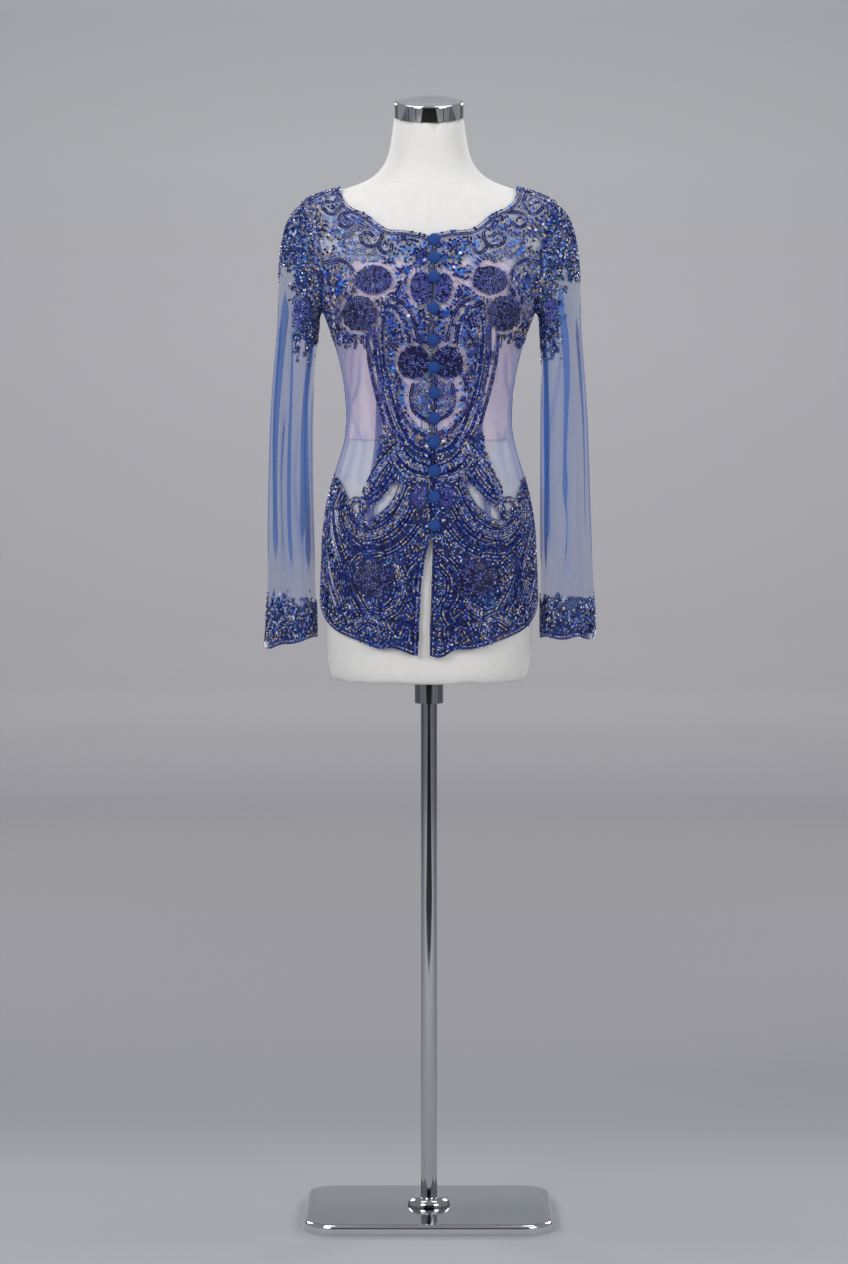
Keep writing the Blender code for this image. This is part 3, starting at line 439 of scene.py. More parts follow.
def shellOf(nodeName, pieceName, levels):
    thickest = 1.65 * mm  # a face with an edge this short belongs to the wall's rim
    mesh = nodes[nodeName].data.copy()
    bm = openMesh(mesh)
    joinTriangles(bm)
    rim = [f for f in bm.faces if any(e.calc_length() < thickest for e in f.edges)]
    bmesh.ops.delete(bm, geom=rim, context="FACES")
    bm.faces.ensure_lookup_table()
    skins, seen = [], set()
    for start in bm.faces:
        if start in seen:
            continue
        skin, reach = [], [start]
        seen.add(start)
        while reach:
            face = reach.pop()
            skin.append(face)
            for other in (f for e in face.edges for f in e.link_faces if f not in seen):
                seen.add(other)
                reach.append(other)
        skins.append(skin)
    outer = set(max(skins, key=lambda skin: sum(f.calc_area() for f in skin)))
    bmesh.ops.delete(bm, geom=[f for f in bm.faces if f not in outer], context="FACES")
    closeMesh(bm, mesh)
    shell = linkObject(pieceName, mesh)
    applyModifier(shell, "SUBSURF", levels=levels, render_levels=levels, boundary_smooth="PRESERVE_CORNERS")
    shell.data.shade_smooth()
    return shell


shells = {}
for name, (nodeName, cloth, *cut) in panels.items():
    material, slot, levels, held = cloths[cloth]
    shells[name] = dress(shellOf(nodeName, name, levels), material)
    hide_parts(nodeName)
print("cloth shells ready")

# folds and creases, each placed one by one
sleeveFolds = {  # turn from the front to the body, top, bottom, turn gained going down, half width, depth
    "sleeveRight": [
        (41, 1.315, 0.925, 10, 11, 1), (-31, 1.375, 0.945, -6, 10, 0.95), (-7, 1.335, 0.93, 12, 7.5, 0.9),
        (5, 1.335, 1.16, 34, 4.5, 0.8), (14, 1.19, 0.93, 9, 4, 0.8), (-80, 1.375, 0.935, -3, 5, 0.8),
        (100, 1.24, 0.93, -6, 9, 0.85), (150, 1.33, 0.96, 8, 10, 0.9), (-128, 1.34, 0.98, -8, 8, 0.85),
        (-165, 1.2, 0.94, 5, 6, 0.75),
    ],
    "sleeveLeft": [
        (52, 1.33, 0.925, 3, 11.5, 1), (-4, 1.39, 1.02, 5, 11.5, 0.95), (1, 1.12, 0.93, 3, 4, 0.8),
        (17, 1.345, 1.17, 22, 5, 0.8), (10, 1.32, 0.96, 32, 4.5, 0.85), (-78, 1.375, 0.935, -3, 5, 0.8),
        (102, 1.25, 0.93, 5, 9, 0.85), (146, 1.33, 0.96, -8, 10, 0.9), (-134, 1.34, 0.98, 9, 8, 0.85),
    ],
}
fold = {
    # length over which it opens out at each end, degrees it wanders on its way, how far the cloth is drawn
    # over (past 1 it lies back over itself), and how far its layers part
    "fade": 55 * mm, "sway": 2.5, "pull": 2.35, "lift": 2.4 * mm,
    # the arm's middle is found slice by slice
    "slice": 20 * mm, "sliceReach": 12 * mm, "sleeveTop": 1.40,
}


def foldSleeve(obj, folds):
    # lays each fold back over itself round the arm, so that three layers lie on one another
    co = cornersOf(obj)
    side = 1 if co[:, 0].mean() > 0 else -1
    levels = np.arange(co[:, 2].min(), fold["sleeveTop"], fold["slice"])
    slices = [co[abs(co[:, 2] - level) < fold["sliceReach"]] for level in levels]
    middleX, middleY = [np.interp(co[:, 2], levels, [(s[:, k].min() + s[:, k].max()) / 2 for s in slices])
                        for k in (0, 1)]
    dx, dy = (co[:, 0] - middleX) * -side, -(co[:, 1] - middleY)
    turn, radius = np.degrees(np.arctan2(dx, dy)), np.hypot(dx, dy)
    shift, lift, pressed = np.zeros(len(co)), np.zeros(len(co)), np.zeros(len(co))
    for angle, top, bottom, gained, halfWidth, depth in folds:
        down = (top - co[:, 2]) / (top - bottom)
        above, below = (top - co[:, 2]) / fold["fade"], (co[:, 2] - bottom) / fold["fade"]
        fade = np.clip(above, 0, 1) * np.clip(below, 0, 1)
        fade = depth * fade * fade * (3 - 2 * fade)
        bend = angle + gained * down + fold["sway"] * np.sin(down * 7 + angle)
        s = np.radians((turn - bend + 180) % 360 - 180) * radius
        w = halfWidth * mm * (0.85 + 0.3 * np.sin(down * 5 + angle * 3))
        near = np.exp(-(s / w) ** 2)
        shift -= fold["pull"] * fade * s * near
        lift += fade * fold["lift"] * (s / w) * near
        pressed = np.maximum(pressed, fade * near)
    newTurn = np.radians(turn) + shift / np.maximum(radius, 5 * mm)
    newRadius = radius + lift
    co[:, 0] = middleX - side * newRadius * np.sin(newTurn)
    co[:, 1] = middleY - newRadius * np.cos(newTurn)
    moveCorners(obj, co)
    writeShare(obj, "pressed", pressed)


# creases: out from the closing line and up from the floor by turns, half width, height, share pressed; in mm
frontCreases = [
    ([114, 1276, 120, 1215, 121, 1189], 3.2, 1.3, 0.9),
    ([104, 1272, 106, 1222, 111, 1204, 120, 1189], 2.6, 1.2, 0.7),
    ([122, 1192, 114, 1167, 101, 1138], 2.9, 1.3, 0.85), ([92, 1270, 89, 1215, 88, 1160], 5, 1.2, 0.15),
    ([112, 1150, 118, 1120, 127, 1085], 4, 1.2, 0.6), ([96, 1150, 100, 1115, 107, 1080], 3.8, 1.1, 0.4),
    ([127, 1290, 126, 1240, 124, 1190], 5, 1, 0.8), ([150, 1400, 128, 1380], 4, 0.9, 0.2),
    ([142, 1300, 135, 1215, 136, 1150, 142, 1100], 9, 0.5, 0.6),
]
backCreases = [
    ([116, 1284, 118, 1215, 112, 1150], 5.5, 1.4, 0.8), ([102, 1270, 104, 1200, 101, 1140], 5, 1.1, 0.5),
    ([112, 1140, 118, 1115, 127, 1085], 5, 1.2, 0.5), ([92, 1265, 88, 1205, 90, 1150], 6, 1.1, 0.2),
    ([142, 1300, 135, 1215, 136, 1150, 142, 1100], 9, 0.5, 0.6),
]
liningCreases = [
    ([90, 1330, 88, 1240, 91, 1150], 6, 1.2, 0), ([108, 1320, 106, 1250, 104, 1150], 5, 0.9, 0),
    ([70, 1300, 72, 1230, 70, 1150], 5, 0.9, 0), ([40, 1380, 44, 1300, 42, 1160], 6, 0.8, 0),
]
sideSeamReach = 17 * mm


def pairs(numbers):
    return np.array(numbers, float).reshape(-1, 2)


def creaseCloth(obj, creases, middle, turnedIn=0.0):
    # raises soft ridges, alike on both sides of the middle; net turned in at a side seam closes its cells
    co = cornersOf(obj)
    normals = np.array([v.normal for v in obj.data.vertices])
    u, z = abs(co[:, 0] - middle) / mm, co[:, 2] / mm
    pressed = np.zeros(len(co))
    for points, halfWidth, height, share in creases:
        nearest = np.full(len(co), 1e9)
        for (ua, za), (ub, zb) in zip(pairs(points), pairs(points)[1:]):
            t = ((u - ua) * (ub - ua) + (z - za) * (zb - za)) / ((ub - ua) ** 2 + (zb - za) ** 2)
            t = np.clip(t, 0, 1)
            nearest = np.minimum(nearest, np.hypot(u - ua - t * (ub - ua), z - za - t * (zb - za)))
        wander = 0.75 + 0.25 * np.sin(z / 17 + u / 9)
        ridge = wander * np.exp(-(nearest / halfWidth) ** 2)
        co += normals * (height * mm * ridge)[:, None]
        pressed = np.maximum(pressed, share * ridge)
    pressed = np.maximum(pressed, turnedIn * np.exp(-(co[:, 1] / sideSeamReach) ** 2))
    moveCorners(obj, co)
    writeShare(obj, "pressed", pressed)


for name, folds in sleeveFolds.items():
    foldSleeve(shells[name], folds)
for name in bodyNames[:4]:
    creaseCloth(shells[name], frontCreases, closureX, 1.5)
creaseCloth(shells["backPanel"], backCreases, 0.0, 1.5)
for side in sides:
    creaseCloth(shells["liningFront" + side], liningCreases, closureX)
creaseCloth(shells["liningBack"], liningCreases, 0.0)
print("folds and creases laid")

# dress form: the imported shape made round, under linen

form = nodes["dress_form"].data.copy()
bm = openMesh(form)
joinTriangles(bm)
closeMesh(bm, form)
linenForm = linkObject("linenForm", form)
applyModifier(linenForm, "SUBSURF", levels=2, render_levels=2)
linenForm.data.shade_smooth()
dress(linenForm, linenMaterial)
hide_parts("dress_form")

# chrome work: each piece turned or bevelled finely, so that it mirrors without facets

cap = {"radius": 50.0 * mm, "band": 22.5 * mm, "dome": 6.5 * mm, "edge": 3.0 * mm, "y": -7.0 * mm,
       "z": 1603.0 * mm, "lean": math.radians(12), "seat": 0.3 * mm}
plate = {"width": 360 * mm, "depth": 285 * mm, "thick": 16 * mm, "corner": 46 * mm, "edge": 6 * mm}
stand = {"pole": 12 * mm, "foot": 16.3 * mm, "flange": 31 * mm, "flangeHigh": 13 * mm, "socket": 21 * mm,
         "seat": 0.3 * mm}


def finishSmooth(obj):
    obj.data.shade_smooth()
    obj.data.set_sharp_from_angle(angle=math.radians(32))
    return obj


def turnedPiece(name, profile):
    # a piece turned round Z from a profile of (radius, height)
    bpy.ops.mesh.primitive_plane_add(size=1)
    obj = bpy.context.object
    obj.name = name
    bm = bmesh.new()
    points = [bm.verts.new((radius, 0, height)) for radius, height in profile]
    for a, b in zip(points, points[1:]):
        bm.edges.new((a, b))
    closeMesh(bm, obj.data)
    applyModifier(obj, "SCREW", steps=64, render_steps=64, use_merge_vertices=True,
                  merge_threshold=0.01 * mm)
    return finishSmooth(obj)


def turnedBar(name, nodeName, radius):
    low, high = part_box(nodeName)
    return turnedPiece(name, [(0, high.z), (radius, high.z), (radius, low.z), (0, low.z)])


quarter = [math.pi / 2 * k / 8 for k in range(9)]
rim = cap["radius"] - cap["edge"]
profile = [(rim * k / 10, cap["band"] + cap["dome"] * (1 - (k / 10) ** 2)) for k in range(10)]
profile += [(rim + cap["edge"] * math.sin(a), cap["band"] - cap["edge"] + cap["edge"] * math.cos(a))
            for a in quarter]
chromeCap = turnedPiece("chromeCap", profile + [(cap["radius"], 0), (0, 0)])
writeShare(chromeCap, "brushed", cornersOf(chromeCap)[:, 2] > cap["band"] - 0.01 * mm)
chromeCap.location = (0, cap["y"] - cap["seat"] * math.sin(cap["lean"]),
                      cap["z"] + cap["seat"] * math.cos(cap["lean"]))
chromeCap.rotation_euler = (cap["lean"], 0, 0)
chromePole = turnedBar("chromePole", "pole", stand["pole"])
chromeSocket = turnedBar("chromeSocket", "pole_socket", stand["socket"])
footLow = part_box("base_flange")[0].z
inner, straight = stand["pole"] + stand["seat"], stand["flangeHigh"] * 0.15
bowl = [(stand["foot"] + (stand["flange"] - stand["foot"]) * math.sin(a),
         footLow + straight + (stand["flangeHigh"] - straight) * math.cos(a)) for a in quarter]
innerTop = (inner, footLow + stand["flangeHigh"])
profile = [innerTop, *bowl, (stand["flange"], footLow), (inner, footLow), innerTop]
chromeFoot = turnedPiece("chromeFoot", profile)
bpy.ops.mesh.primitive_cube_add(size=1, location=(0, 0, plate["thick"] / 2))
chromePlate = bpy.context.object
chromePlate.name = "chromePlate"
chromePlate.scale = (plate["width"], plate["depth"], plate["thick"])
bpy.ops.object.transform_apply(location=True, scale=True)
bm = openMesh(chromePlate.data)
upright = [e for e in bm.edges if abs(e.verts[0].co.z - e.verts[1].co.z) > plate["thick"] / 2]
bmesh.ops.bevel(bm, geom=upright, offset=plate["corner"], segments=16, profile=0.5, affect="EDGES")
top = [e for e in bm.edges if all(v.co.z > plate["thick"] - 0.001 * mm for v in e.verts)]
bmesh.ops.bevel(bm, geom=top, offset=plate["edge"], segments=8, profile=0.5, affect="EDGES")
closeMesh(bm, chromePlate.data)
finishSmooth(chromePlate)
for piece, nodeName, material in (
        (chromeCap, "neck_cap", capMaterial), (chromePole, "pole", chromeMaterial),
        (chromeSocket, "pole_socket", chromeMaterial), (chromeFoot, "base_flange", chromeMaterial),
        (chromePlate, "base_plate", baseMaterial)):
    settle(piece)
    dress(piece, material)
    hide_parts(nodeName)
print("form and stand ready")

# bead work: a few bead shapes, laid in rows and drifts on the cloth

random = np.random.default_rng(12)


def skinTree(objects):
    # one searchable skin of several shells
    points, faces = [], []
    for obj in objects:
        start = len(points)
        points += [v.co.copy() for v in obj.data.vertices]
        faces += [[start + i for i in p.vertices] for p in obj.data.polygons]
    return BVHTree.FromPolygons(points, faces)


def castAt(tree, x, z, facing=-1):
    # the place on a skin that is seen from in front (-1) or behind (1), with the way out of it
    hit = tree.ray_cast(Vector((x, facing * 0.5, z)), Vector((0, -facing, 0)))
    grazing = 0.05  # a skin turned further away than this isn't seen
    return hit[:2] if hit[0] and hit[1].y * facing > grazing else (None, None)


def settleOn(tree, points):
    # nearest places on the cloth, with the way out of it
    found = [tree.find_nearest(Vector(p)) for p in points]
    return np.array([f[0] for f in found]).reshape(-1, 3), np.array([f[1] for f in found]).reshape(-1, 3)


def evenLine(line, step):
    along = np.concatenate([[0], np.cumsum(np.linalg.norm(np.diff(line, axis=0), axis=1))])
    at = np.linspace(0, along[-1], max(2, int(along[-1] / step) + 1))
    return np.column_stack([np.interp(at, along, line[:, k]) for k in range(line.shape[1])])


def smoothLine(points, step):
    # an even line through given points, rounded between them
    ends = np.vstack([2 * points[0] - points[1], points, 2 * points[-1] - points[-2]])
    t = np.linspace(0, 1, 16, endpoint=False)[:, None]
    parts = [0.5 * (2 * b + (c - a) * t + (2 * a - 5 * b + 4 * c - d) * t**2 + (3 * b - a - 3 * c + d) * t**3)
             for a, b, c, d in zip(ends, ends[1:], ends[2:], ends[3:])]
    return evenLine(np.vstack(parts + [points[-1:]]), step)


def unit(vectors):
    return vectors / np.maximum(np.linalg.norm(vectors, axis=1, keepdims=True), 1e-9)


def alongLine(line):
    return unit(np.gradient(line, axis=0))


def insideOutline(outline, u, z):
    inside = np.zeros(len(u), bool)
    for (ua, za), (ub, zb) in zip(outline, np.roll(outline, -1, axis=0)):
        if za != zb:
            crossing = (z > min(za, zb)) & (z <= max(za, zb))
            inside ^= crossing & (u < ua + (z - za) / (zb - za) * (ub - ua))
    return inside


def drift(points, size, seed=0.0):
    # soft patches, from about -1 to 1
    return np.array([noise.noise(Vector((p[0] / size + seed, p[1] / size, p[2] / size))) for p in points])


beads = {  # sides and rings of the ball, half length, half width, half height
    "rice": (3, 2, 2.15 * mm, 1.30 * mm, 1.25 * mm),
    "seed": (4, 2, 1.70 * mm, 1.25 * mm, 1.15 * mm),
    "rope": (4, 2, 2.10 * mm, 1.35 * mm, 1.25 * mm),
    "bugle": (4, 3, 1.85 * mm, 1.25 * mm, 1.25 * mm),
    "leaf": (6, 3, 3.05 * mm, 2.05 * mm, 1.50 * mm),
    "tiny": (3, 2, 1.30 * mm, 1.05 * mm, 1.00 * mm),
}
beadShapes = {}  # corners, with length along x, width along y and height along z, and triangles
for kind, (around, rings, *sizes) in beads.items():
    # a ball of very few faces, turned so that the hole of the bead lies along x
    bpy.ops.mesh.primitive_uv_sphere_add(segments=around, ring_count=rings, rotation=(0, math.pi / 2, 0))
    bead = bpy.context.object
    settle(bead)
    bpy.ops.object.mode_set(mode="EDIT")
    bpy.ops.mesh.select_all(action="SELECT")
    bpy.ops.mesh.quads_convert_to_tris()
    bpy.ops.object.mode_set(mode="OBJECT")
    beadShapes[kind] = (cornersOf(bead) * sizes, np.array([list(p.vertices) for p in bead.data.polygons]))
    bpy.data.objects.remove(bead)

# bead colours: the palest tone is painted highlight, standing for the glints on the glass
glassTones = {
    "ink": "#0b0f30", "navy": "#131b58", "blue": "#213f9a", "sky": "#2d78cc", "steel": "#7387c2",
    "pale": "#c3cae6", "tan": "#96836f", "cream": "#c9bfb2", "plum": "#2a2a72", "lilac": "#5d63b6",
}
toneMixes = {  # how many beads of each colour in a drift: the palest are painted highlights, and steel is a steel-blue bead that in the loose drifts also serves as painted highlight
    "hip": {"navy": 33, "blue": 21, "sky": 6, "steel": 15, "pale": 4, "tan": 11, "cream": 5, "ink": 8},
    "leaf": {"navy": 44, "blue": 42, "steel": 7, "sky": 7},
    "skyLeaf": {"sky": 34, "blue": 40, "navy": 22, "pale": 4},
    "tinyTan": {"tan": 44, "navy": 24, "blue": 12, "cream": 20},
    "band": {"navy": 40, "plum": 14, "blue": 18, "steel": 10, "tan": 12, "cream": 6},
    "shoulder": {"navy": 36, "blue": 22, "sky": 5, "steel": 19, "pale": 3, "tan": 9, "cream": 6},
    "cuff": {"ink": 8, "navy": 32, "blue": 20, "sky": 3, "steel": 20, "pale": 3, "tan": 8, "cream": 6},
    "line": {"navy": 64, "blue": 28, "steel": 8},
    "paleLine": {"steel": 32, "blue": 26, "cream": 10, "tan": 16, "navy": 12, "pale": 4},
    "darkLine": {"navy": 60, "ink": 18, "blue": 22},
    "softLine": {"lilac": 26, "navy": 38, "plum": 30, "steel": 6},
    "flower": {"plum": 14, "navy": 14, "lilac": 60, "steel": 12},
    "lowFlower": {"plum": 26, "navy": 26, "lilac": 44, "steel": 4},
}


def pickTones(mix, count, spread=(0.45, 1.75)):
    table = np.array([hexLinear(glassTones[name]) for name in toneMixes[mix]])
    shares = np.array(list(toneMixes[mix].values()), float)
    picked = table[random.choice(len(table), size=count, p=shares / shares.sum())]
    return picked * random.uniform(*spread, (count, 1))


beadPieces = {}  # piece name: runs of beads


def addBeads(kind, places, normals, ahead, tones, sleeve=None):
    # ahead: the way each bead's hole points
    side = np.where(places[:, 0] > closureX * (normals[:, 1] < 0), "Left", "Right")
    names = np.char.add(np.where(normals[:, 1] > 0, "beadsBack", "beadsFront"), side)
    if sleeve:
        names = np.full(len(places), "beads" + sleeve)
    for name in sorted(set(names)):
        own = names == name
        beadPieces.setdefault(name, []).append((kind, places[own], normals[own], ahead[own], tones[own]))


def joinBeads(name, runs):
    points, faces, tones, start = [], [], [], 0
    for kind, places, normals, ahead, colours in runs:
        shape, shapeFaces = beadShapes[kind]
        across = unit(np.cross(normals, ahead))
        ahead = np.cross(across, normals)
        count, corners = len(places), len(shape)
        sizes = random.uniform(0.88, 1.1, (count, 1, 1))
        lifted = places + normals * beads[kind][-1] * 0.55
        turned = (shape[None, :, :1] * ahead[:, None] + shape[None, :, 1:2] * across[:, None]
                  + shape[None, :, 2:] * normals[:, None])
        points.append((lifted[:, None] + sizes * turned).reshape(-1, 3))
        faces.append((shapeFaces[None] + start + np.arange(count)[:, None, None] * corners).reshape(-1, 3))
        tones.append(np.repeat(colours, corners, axis=0))
        start += count * corners
    piece = meshPiece(name, np.vstack(points).tolist(), np.vstack(faces).tolist())
    tones = np.column_stack([np.vstack(tones), np.ones(start)]).astype(np.float32)
    piece.data.attributes.new("glassColour", "FLOAT_COLOR", "POINT").data.foreach_set("color", tones.ravel())
    print(name, len(piece.data.polygons), "triangles")
    return dress(piece, glassMaterial)


taken = {}  # places on the cloth that already hold something


def claim(place, reach):
    # takes a place, unless something nearer than its reach is there
    cell = 3.0 * mm
    a, b, c = (int(value // cell) for value in place)
    x, y, z = place
    for i in (a - 1, a, a + 1):
        for j in (b - 1, b, b + 1):
            for k in (c - 1, c, c + 1):
                for p, q, r, other in taken.get((i, j, k), ()):
                    if (p - x) ** 2 + (q - y) ** 2 + (r - z) ** 2 < max(other, reach) ** 2:
                        return False
    taken.setdefault((a, b, c), []).append((x, y, z, reach))
    return True


bodyTree = skinTree([shells[name] for name in bodyNames])
sleeveTrees = {side: skinTree([shells["sleeve" + side]]) for side in sides}

# the bead work's plan: millimetres out from the closing line and up from the floor, by turns
bodyMotifs = {  # rows' colours, echo rows beside it, bare gap beside it, points
    "centreLobeCurl": ("line", 0, True, [72, 1429, 77, 1417, 70, 1407, 60, 1409, 58, 1419]),
    "bigLobeCurl": ("line", 0, True, [72, 1436, 74, 1424, 85, 1416, 99, 1420, 102, 1430, 92, 1436, 85,
        1430]),
    "bigLobeHook": ("line", 0, True, [106, 1465, 122, 1465, 130, 1461, 134, 1455, 133, 1448, 124, 1443, 114,
        1449]),
    "shoulderScroll": ("line", 0, True, [139, 1499, 132, 1487, 130, 1477, 135, 1468, 141, 1463, 149, 1464,
        156, 1470, 158, 1475, 154, 1480, 147, 1480]),
    "shoulderBand": ("line", 1, False, [140, 1497, 160, 1489, 181, 1480, 200, 1471]),
    "armholeLine": ("line", 1, False, [193, 1481, 182, 1450, 173, 1417, 169, 1382, 166, 1339]),
    "armholeSecond": ("paleLine", 1, False, [183, 1481, 172, 1450, 165, 1417, 162, 1389]),
    "paisleyOuter": ("line", 1, True, [155, 1393, 133, 1397, 116, 1385, 111, 1362, 121, 1335, 136, 1308]),
    "paisleyInner": ("paleLine", 0, False, [145, 1379, 131, 1379, 125, 1362, 132, 1339, 142, 1322]),
    "flowerSweep": ("line", 0, False, [60, 1343, 43, 1336, 30, 1319, 23, 1294, 18, 1265]),
    "flowerSweepInner": ("line", 1, False, [70, 1335, 53, 1328, 40, 1311, 34, 1285, 33, 1259]),
    "bandThird": ("softLine", 2, False, [90, 1312, 93, 1285, 90, 1250, 80, 1204, 68, 1163]),
    "bandOuter": ("softLine", 2, False, [78, 1339, 81, 1296, 80, 1254, 70, 1204, 57, 1161, 38, 1130]),
    "bandInner": ("line", 1, False, [65, 1339, 70, 1296, 68, 1254, 60, 1208, 45, 1163, 26, 1132, 1, 1122]),
    "urnOuter": ("softLine", 0, False, [43, 1237, 50, 1208, 45, 1180, 28, 1157, 6, 1144]),
    "urnInner": ("line", 0, False, [28, 1220, 31, 1200, 26, 1181, 10, 1170, 0, 1167]),
    "cupArcLow": ("paleLine", 3, False, [51, 1130, 34, 1110, 16, 1100, 0, 1097]),
    "cupArcLowest": ("paleLine", 3, True, [57, 1114, 40, 1093, 20, 1085, 0, 1083]),
    "hookOuter": ("paleLine", 5, True, [14, 1073, 30, 1069, 38, 1051, 53, 1026, 77, 1008, 102, 1006, 121,
        1021, 124, 1042, 112, 1055, 98, 1051, 97, 1039]),
    "hookInner": ("paleLine", 2, True, [43, 1092, 47, 1069, 60, 1046, 81, 1028, 97, 1022, 108, 1031]),
    "hipLeafTop": ("paleLine", 3, False, [38, 1140, 55, 1126, 74, 1103, 88, 1080, 97, 1060]),
    "hipLeafLow": ("line", 3, False, [48, 1109, 60, 1086, 77, 1066, 92, 1055]),
    "sideSweep": ("line", 3, True, [132, 1066, 142, 1038, 139, 1005, 128, 969, 116, 927, 97, 891]),
    "sideSweepSecond": ("softLine", 2, False, [148, 1033, 153, 991, 148, 941, 136, 904]),
    "underHook": ("line", 5, True, [126, 1004, 105, 985, 74, 987, 48, 1001, 28, 1025]),
    "medallionArc": ("line", 6, True, [118, 913, 128, 941, 119, 971, 97, 988, 70, 985]),
    "medallionArcRight": ("paleLine", 4, True, [51, 961, 44, 934, 53, 907, 71, 893]),
    "hemScrollOne": ("line", 5, True, [14, 969, 31, 948, 31, 920, 20, 898, 28, 881, 43, 890]),
    "hemScrollTwo": ("paleLine", 5, True, [111, 877, 94, 888, 77, 881, 71, 864, 82, 856]),
    "hemScrollThree": ("line", 4, True, [51, 867, 43, 881, 28, 873, 28, 856]),
}
openNet = {  # parts of the plan that stay bare
    "sideWindow": [159, 1294, 145, 1285, 125, 1274, 105, 1281, 89, 1268, 77, 1225, 67, 1161, 77, 1123, 94,
        1083, 102, 1058, 109, 1032, 121, 1055, 132, 1078, 146, 1092, 230, 1092, 230, 1294],
    "underFlower": [97, 1296, 88, 1308, 75, 1314, 75, 1275, 88, 1271],
    "bustNet": [116, 1403, 88, 1393, 97, 1382, 116, 1382],
    "shoulderNet": [165, 1424, 133, 1427, 133, 1414, 165, 1412],
    "chestNet": [54, 1402, 40, 1404, 41, 1387, 53, 1387],
    "urnBand": [34, 1234, 43, 1208, 38, 1183, 23, 1163, 1, 1153, 1, 1163, 18, 1171, 31, 1188, 36, 1205, 30,
        1223],
    "hookNet": [44, 1083, 51, 1059, 67, 1039, 89, 1025, 99, 1026, 94, 1043, 74, 1056, 57, 1078],
}


def planOf(points, normals):
    # places on the body, as millimetres on the plan
    middle = np.where(normals[:, 1] > 0, 0.0, closureX)
    return np.abs(points[:, 0] - middle) / mm, points[:, 2] / mm


def bandInner(z):
    # inner edge of the beaded band that curves down each front
    return np.interp(z, [1120, 1163, 1208, 1254, 1296, 1345], [16, 42, 57, 65, 68, 66])


openFrom, fullFrom = 0.3, 0.7  # shares from which leaves are laid on open net, and beads close together


def workedShare(points, normals):
    # how closely each place on the body is beaded: 0 is bare net, 1 is full, 0.5 is leaves on open net
    u, z = planOf(points, normals)
    ragged = 3.5 * drift(points, 5 * mm, 40.0)
    hipTop = np.interp(u, [0, 9, 32, 50, 68, 77, 95], [1126, 1128, 1134, 1146, 1156, 1150, 1120])
    share = np.where(z + ragged < hipTop, 1.0, 0.5)
    share = np.where((z > 1150) & (z < 1236) & (u < 30), 0.9, share)
    bandOut = np.interp(z, [1120, 1163, 1204, 1250, 1285, 1320], [60, 72, 78, 88, 92, 90])
    share = np.where((z < 1345) & (u + ragged > bandInner(z)) & (u < bandOut), 0.75, share)
    armhole = np.interp(z, [1260, 1300, 1380, 1440, 1480, 1500], [128, 142, 160, 170, 176, 150])
    share = np.where((z > 1262) & (u + 2 * ragged > armhole), 0.92, share)
    tips = np.where((z > 1240) & (u > 70), 5 * np.sin(u / 1.9), 0.0)  # leaves that hang down into the window
    for outline in openNet.values():
        share = np.where(insideOutline(pairs(outline), u + ragged, z + ragged + tips), 0.0, share)
    return share


# bead work on a sleeve, in millimetres: the branch hangs lower, on the part of the cap nearest to the body
sleeveWork = {"capLow": 1380, "branchLow": 1272, "branch": {"Left": 181, "Right": 200}, "cuffTop": 905,
              "share": 0.96}


def sleeveShare(points, side):
    # the cap with its branch, and the cuff
    u, z = np.abs(points[:, 0] - closureX) / mm, points[:, 2] / mm
    lobes = drift(points, 13 * mm) * 34 + drift(points, 5 * mm, 40.0) * 12
    onBranch = u + 0.5 * lobes < sleeveWork["branch"][side]
    lowest = np.where(onBranch, sleeveWork["branchLow"], sleeveWork["capLow"]) + lobes + 7 * np.sin(u / 3.7)
    cuffTop = sleeveWork["cuffTop"] + 0.7 * lobes + 6 * np.sin(u / 4.6 + points[:, 1] * 160)
    return np.where((z > lowest) | (z < cuffTop), sleeveWork["share"], 0.0)


def openRuns(obj):
    # the open edges of a shell, each as a run of places
    bm = openMesh(obj.data)
    left = {e for e in bm.edges if e.is_boundary}
    runs = []
    while left:
        edge = min(left, key=lambda e: e.index)
        left.discard(edge)
        run = [edge.verts[0], edge.verts[1]]
        while onward := [e for e in run[-1].link_edges if e in left]:
            left.discard(onward[0])
            run.append(onward[0].other_vert(run[-1]))
        runs.append(np.array([v.co for v in run]))
    bm.free()
    return runs


def nearTree(points):
    tree = KDTree(len(points))
    for index, point in enumerate(points):
        tree.insert(Vector(point), index)
    tree.balance()
    return tree


def splitRun(points, chosen):
    # the stretches of a closed run whose places are chosen
    start = next((i for i, c in enumerate(chosen) if not c), 0)
    stretches, piece = [], []
    for point, own in zip(np.roll(points, -start, axis=0), np.roll(chosen, -start)):
        if own:
            piece.append(point)
        elif piece:
            stretches.append(np.array(piece))
            piece = []
    return stretches + ([np.array(piece)] if piece else [])


edgePoints = {name: np.vstack(openRuns(shells[name])) for name in bodyNames + sleeveNames}
edges = {  # shells nearer than the seam gap are sewn together, but not where the blouse opens
    "seamGap": 4.5 * mm, "closing": 8 * mm, "closingTop": 1.43, "closingLow": 0.86, "neckLow": 1.428,
    "rowReach": 12 * mm, "cordReach": 9 * mm,  # how far from the closing line its rows and its cord go
}


def freeStretches(name):
    # the parts of a shell's open edge that no neighbour meets
    near = nearTree(np.vstack([points for other, points in edgePoints.items() if other != name]))
    stretches = []
    for run in openRuns(shells[name]):
        free = [near.find(Vector(p))[2] > edges["seamGap"]
                or (p[1] < 0 and abs(p[0] - closureX) < edges["closing"] and p[2] < edges["closingTop"])
                for p in run[:-1]]
        stretches += [s for s in splitRun(run[:-1], free) if len(s) > 4]
    return stretches


def edgePart(line, reach):
    # which edge of the blouse each place of a line belongs to
    closing = (abs(line[:, 0] - closureX) < reach) & (line[:, 1] < 0) & (line[:, 2] > edges["closingLow"])
    return np.where(line[:, 2] > edges["neckLow"], "neck", np.where(closing, "closing", "hem"))


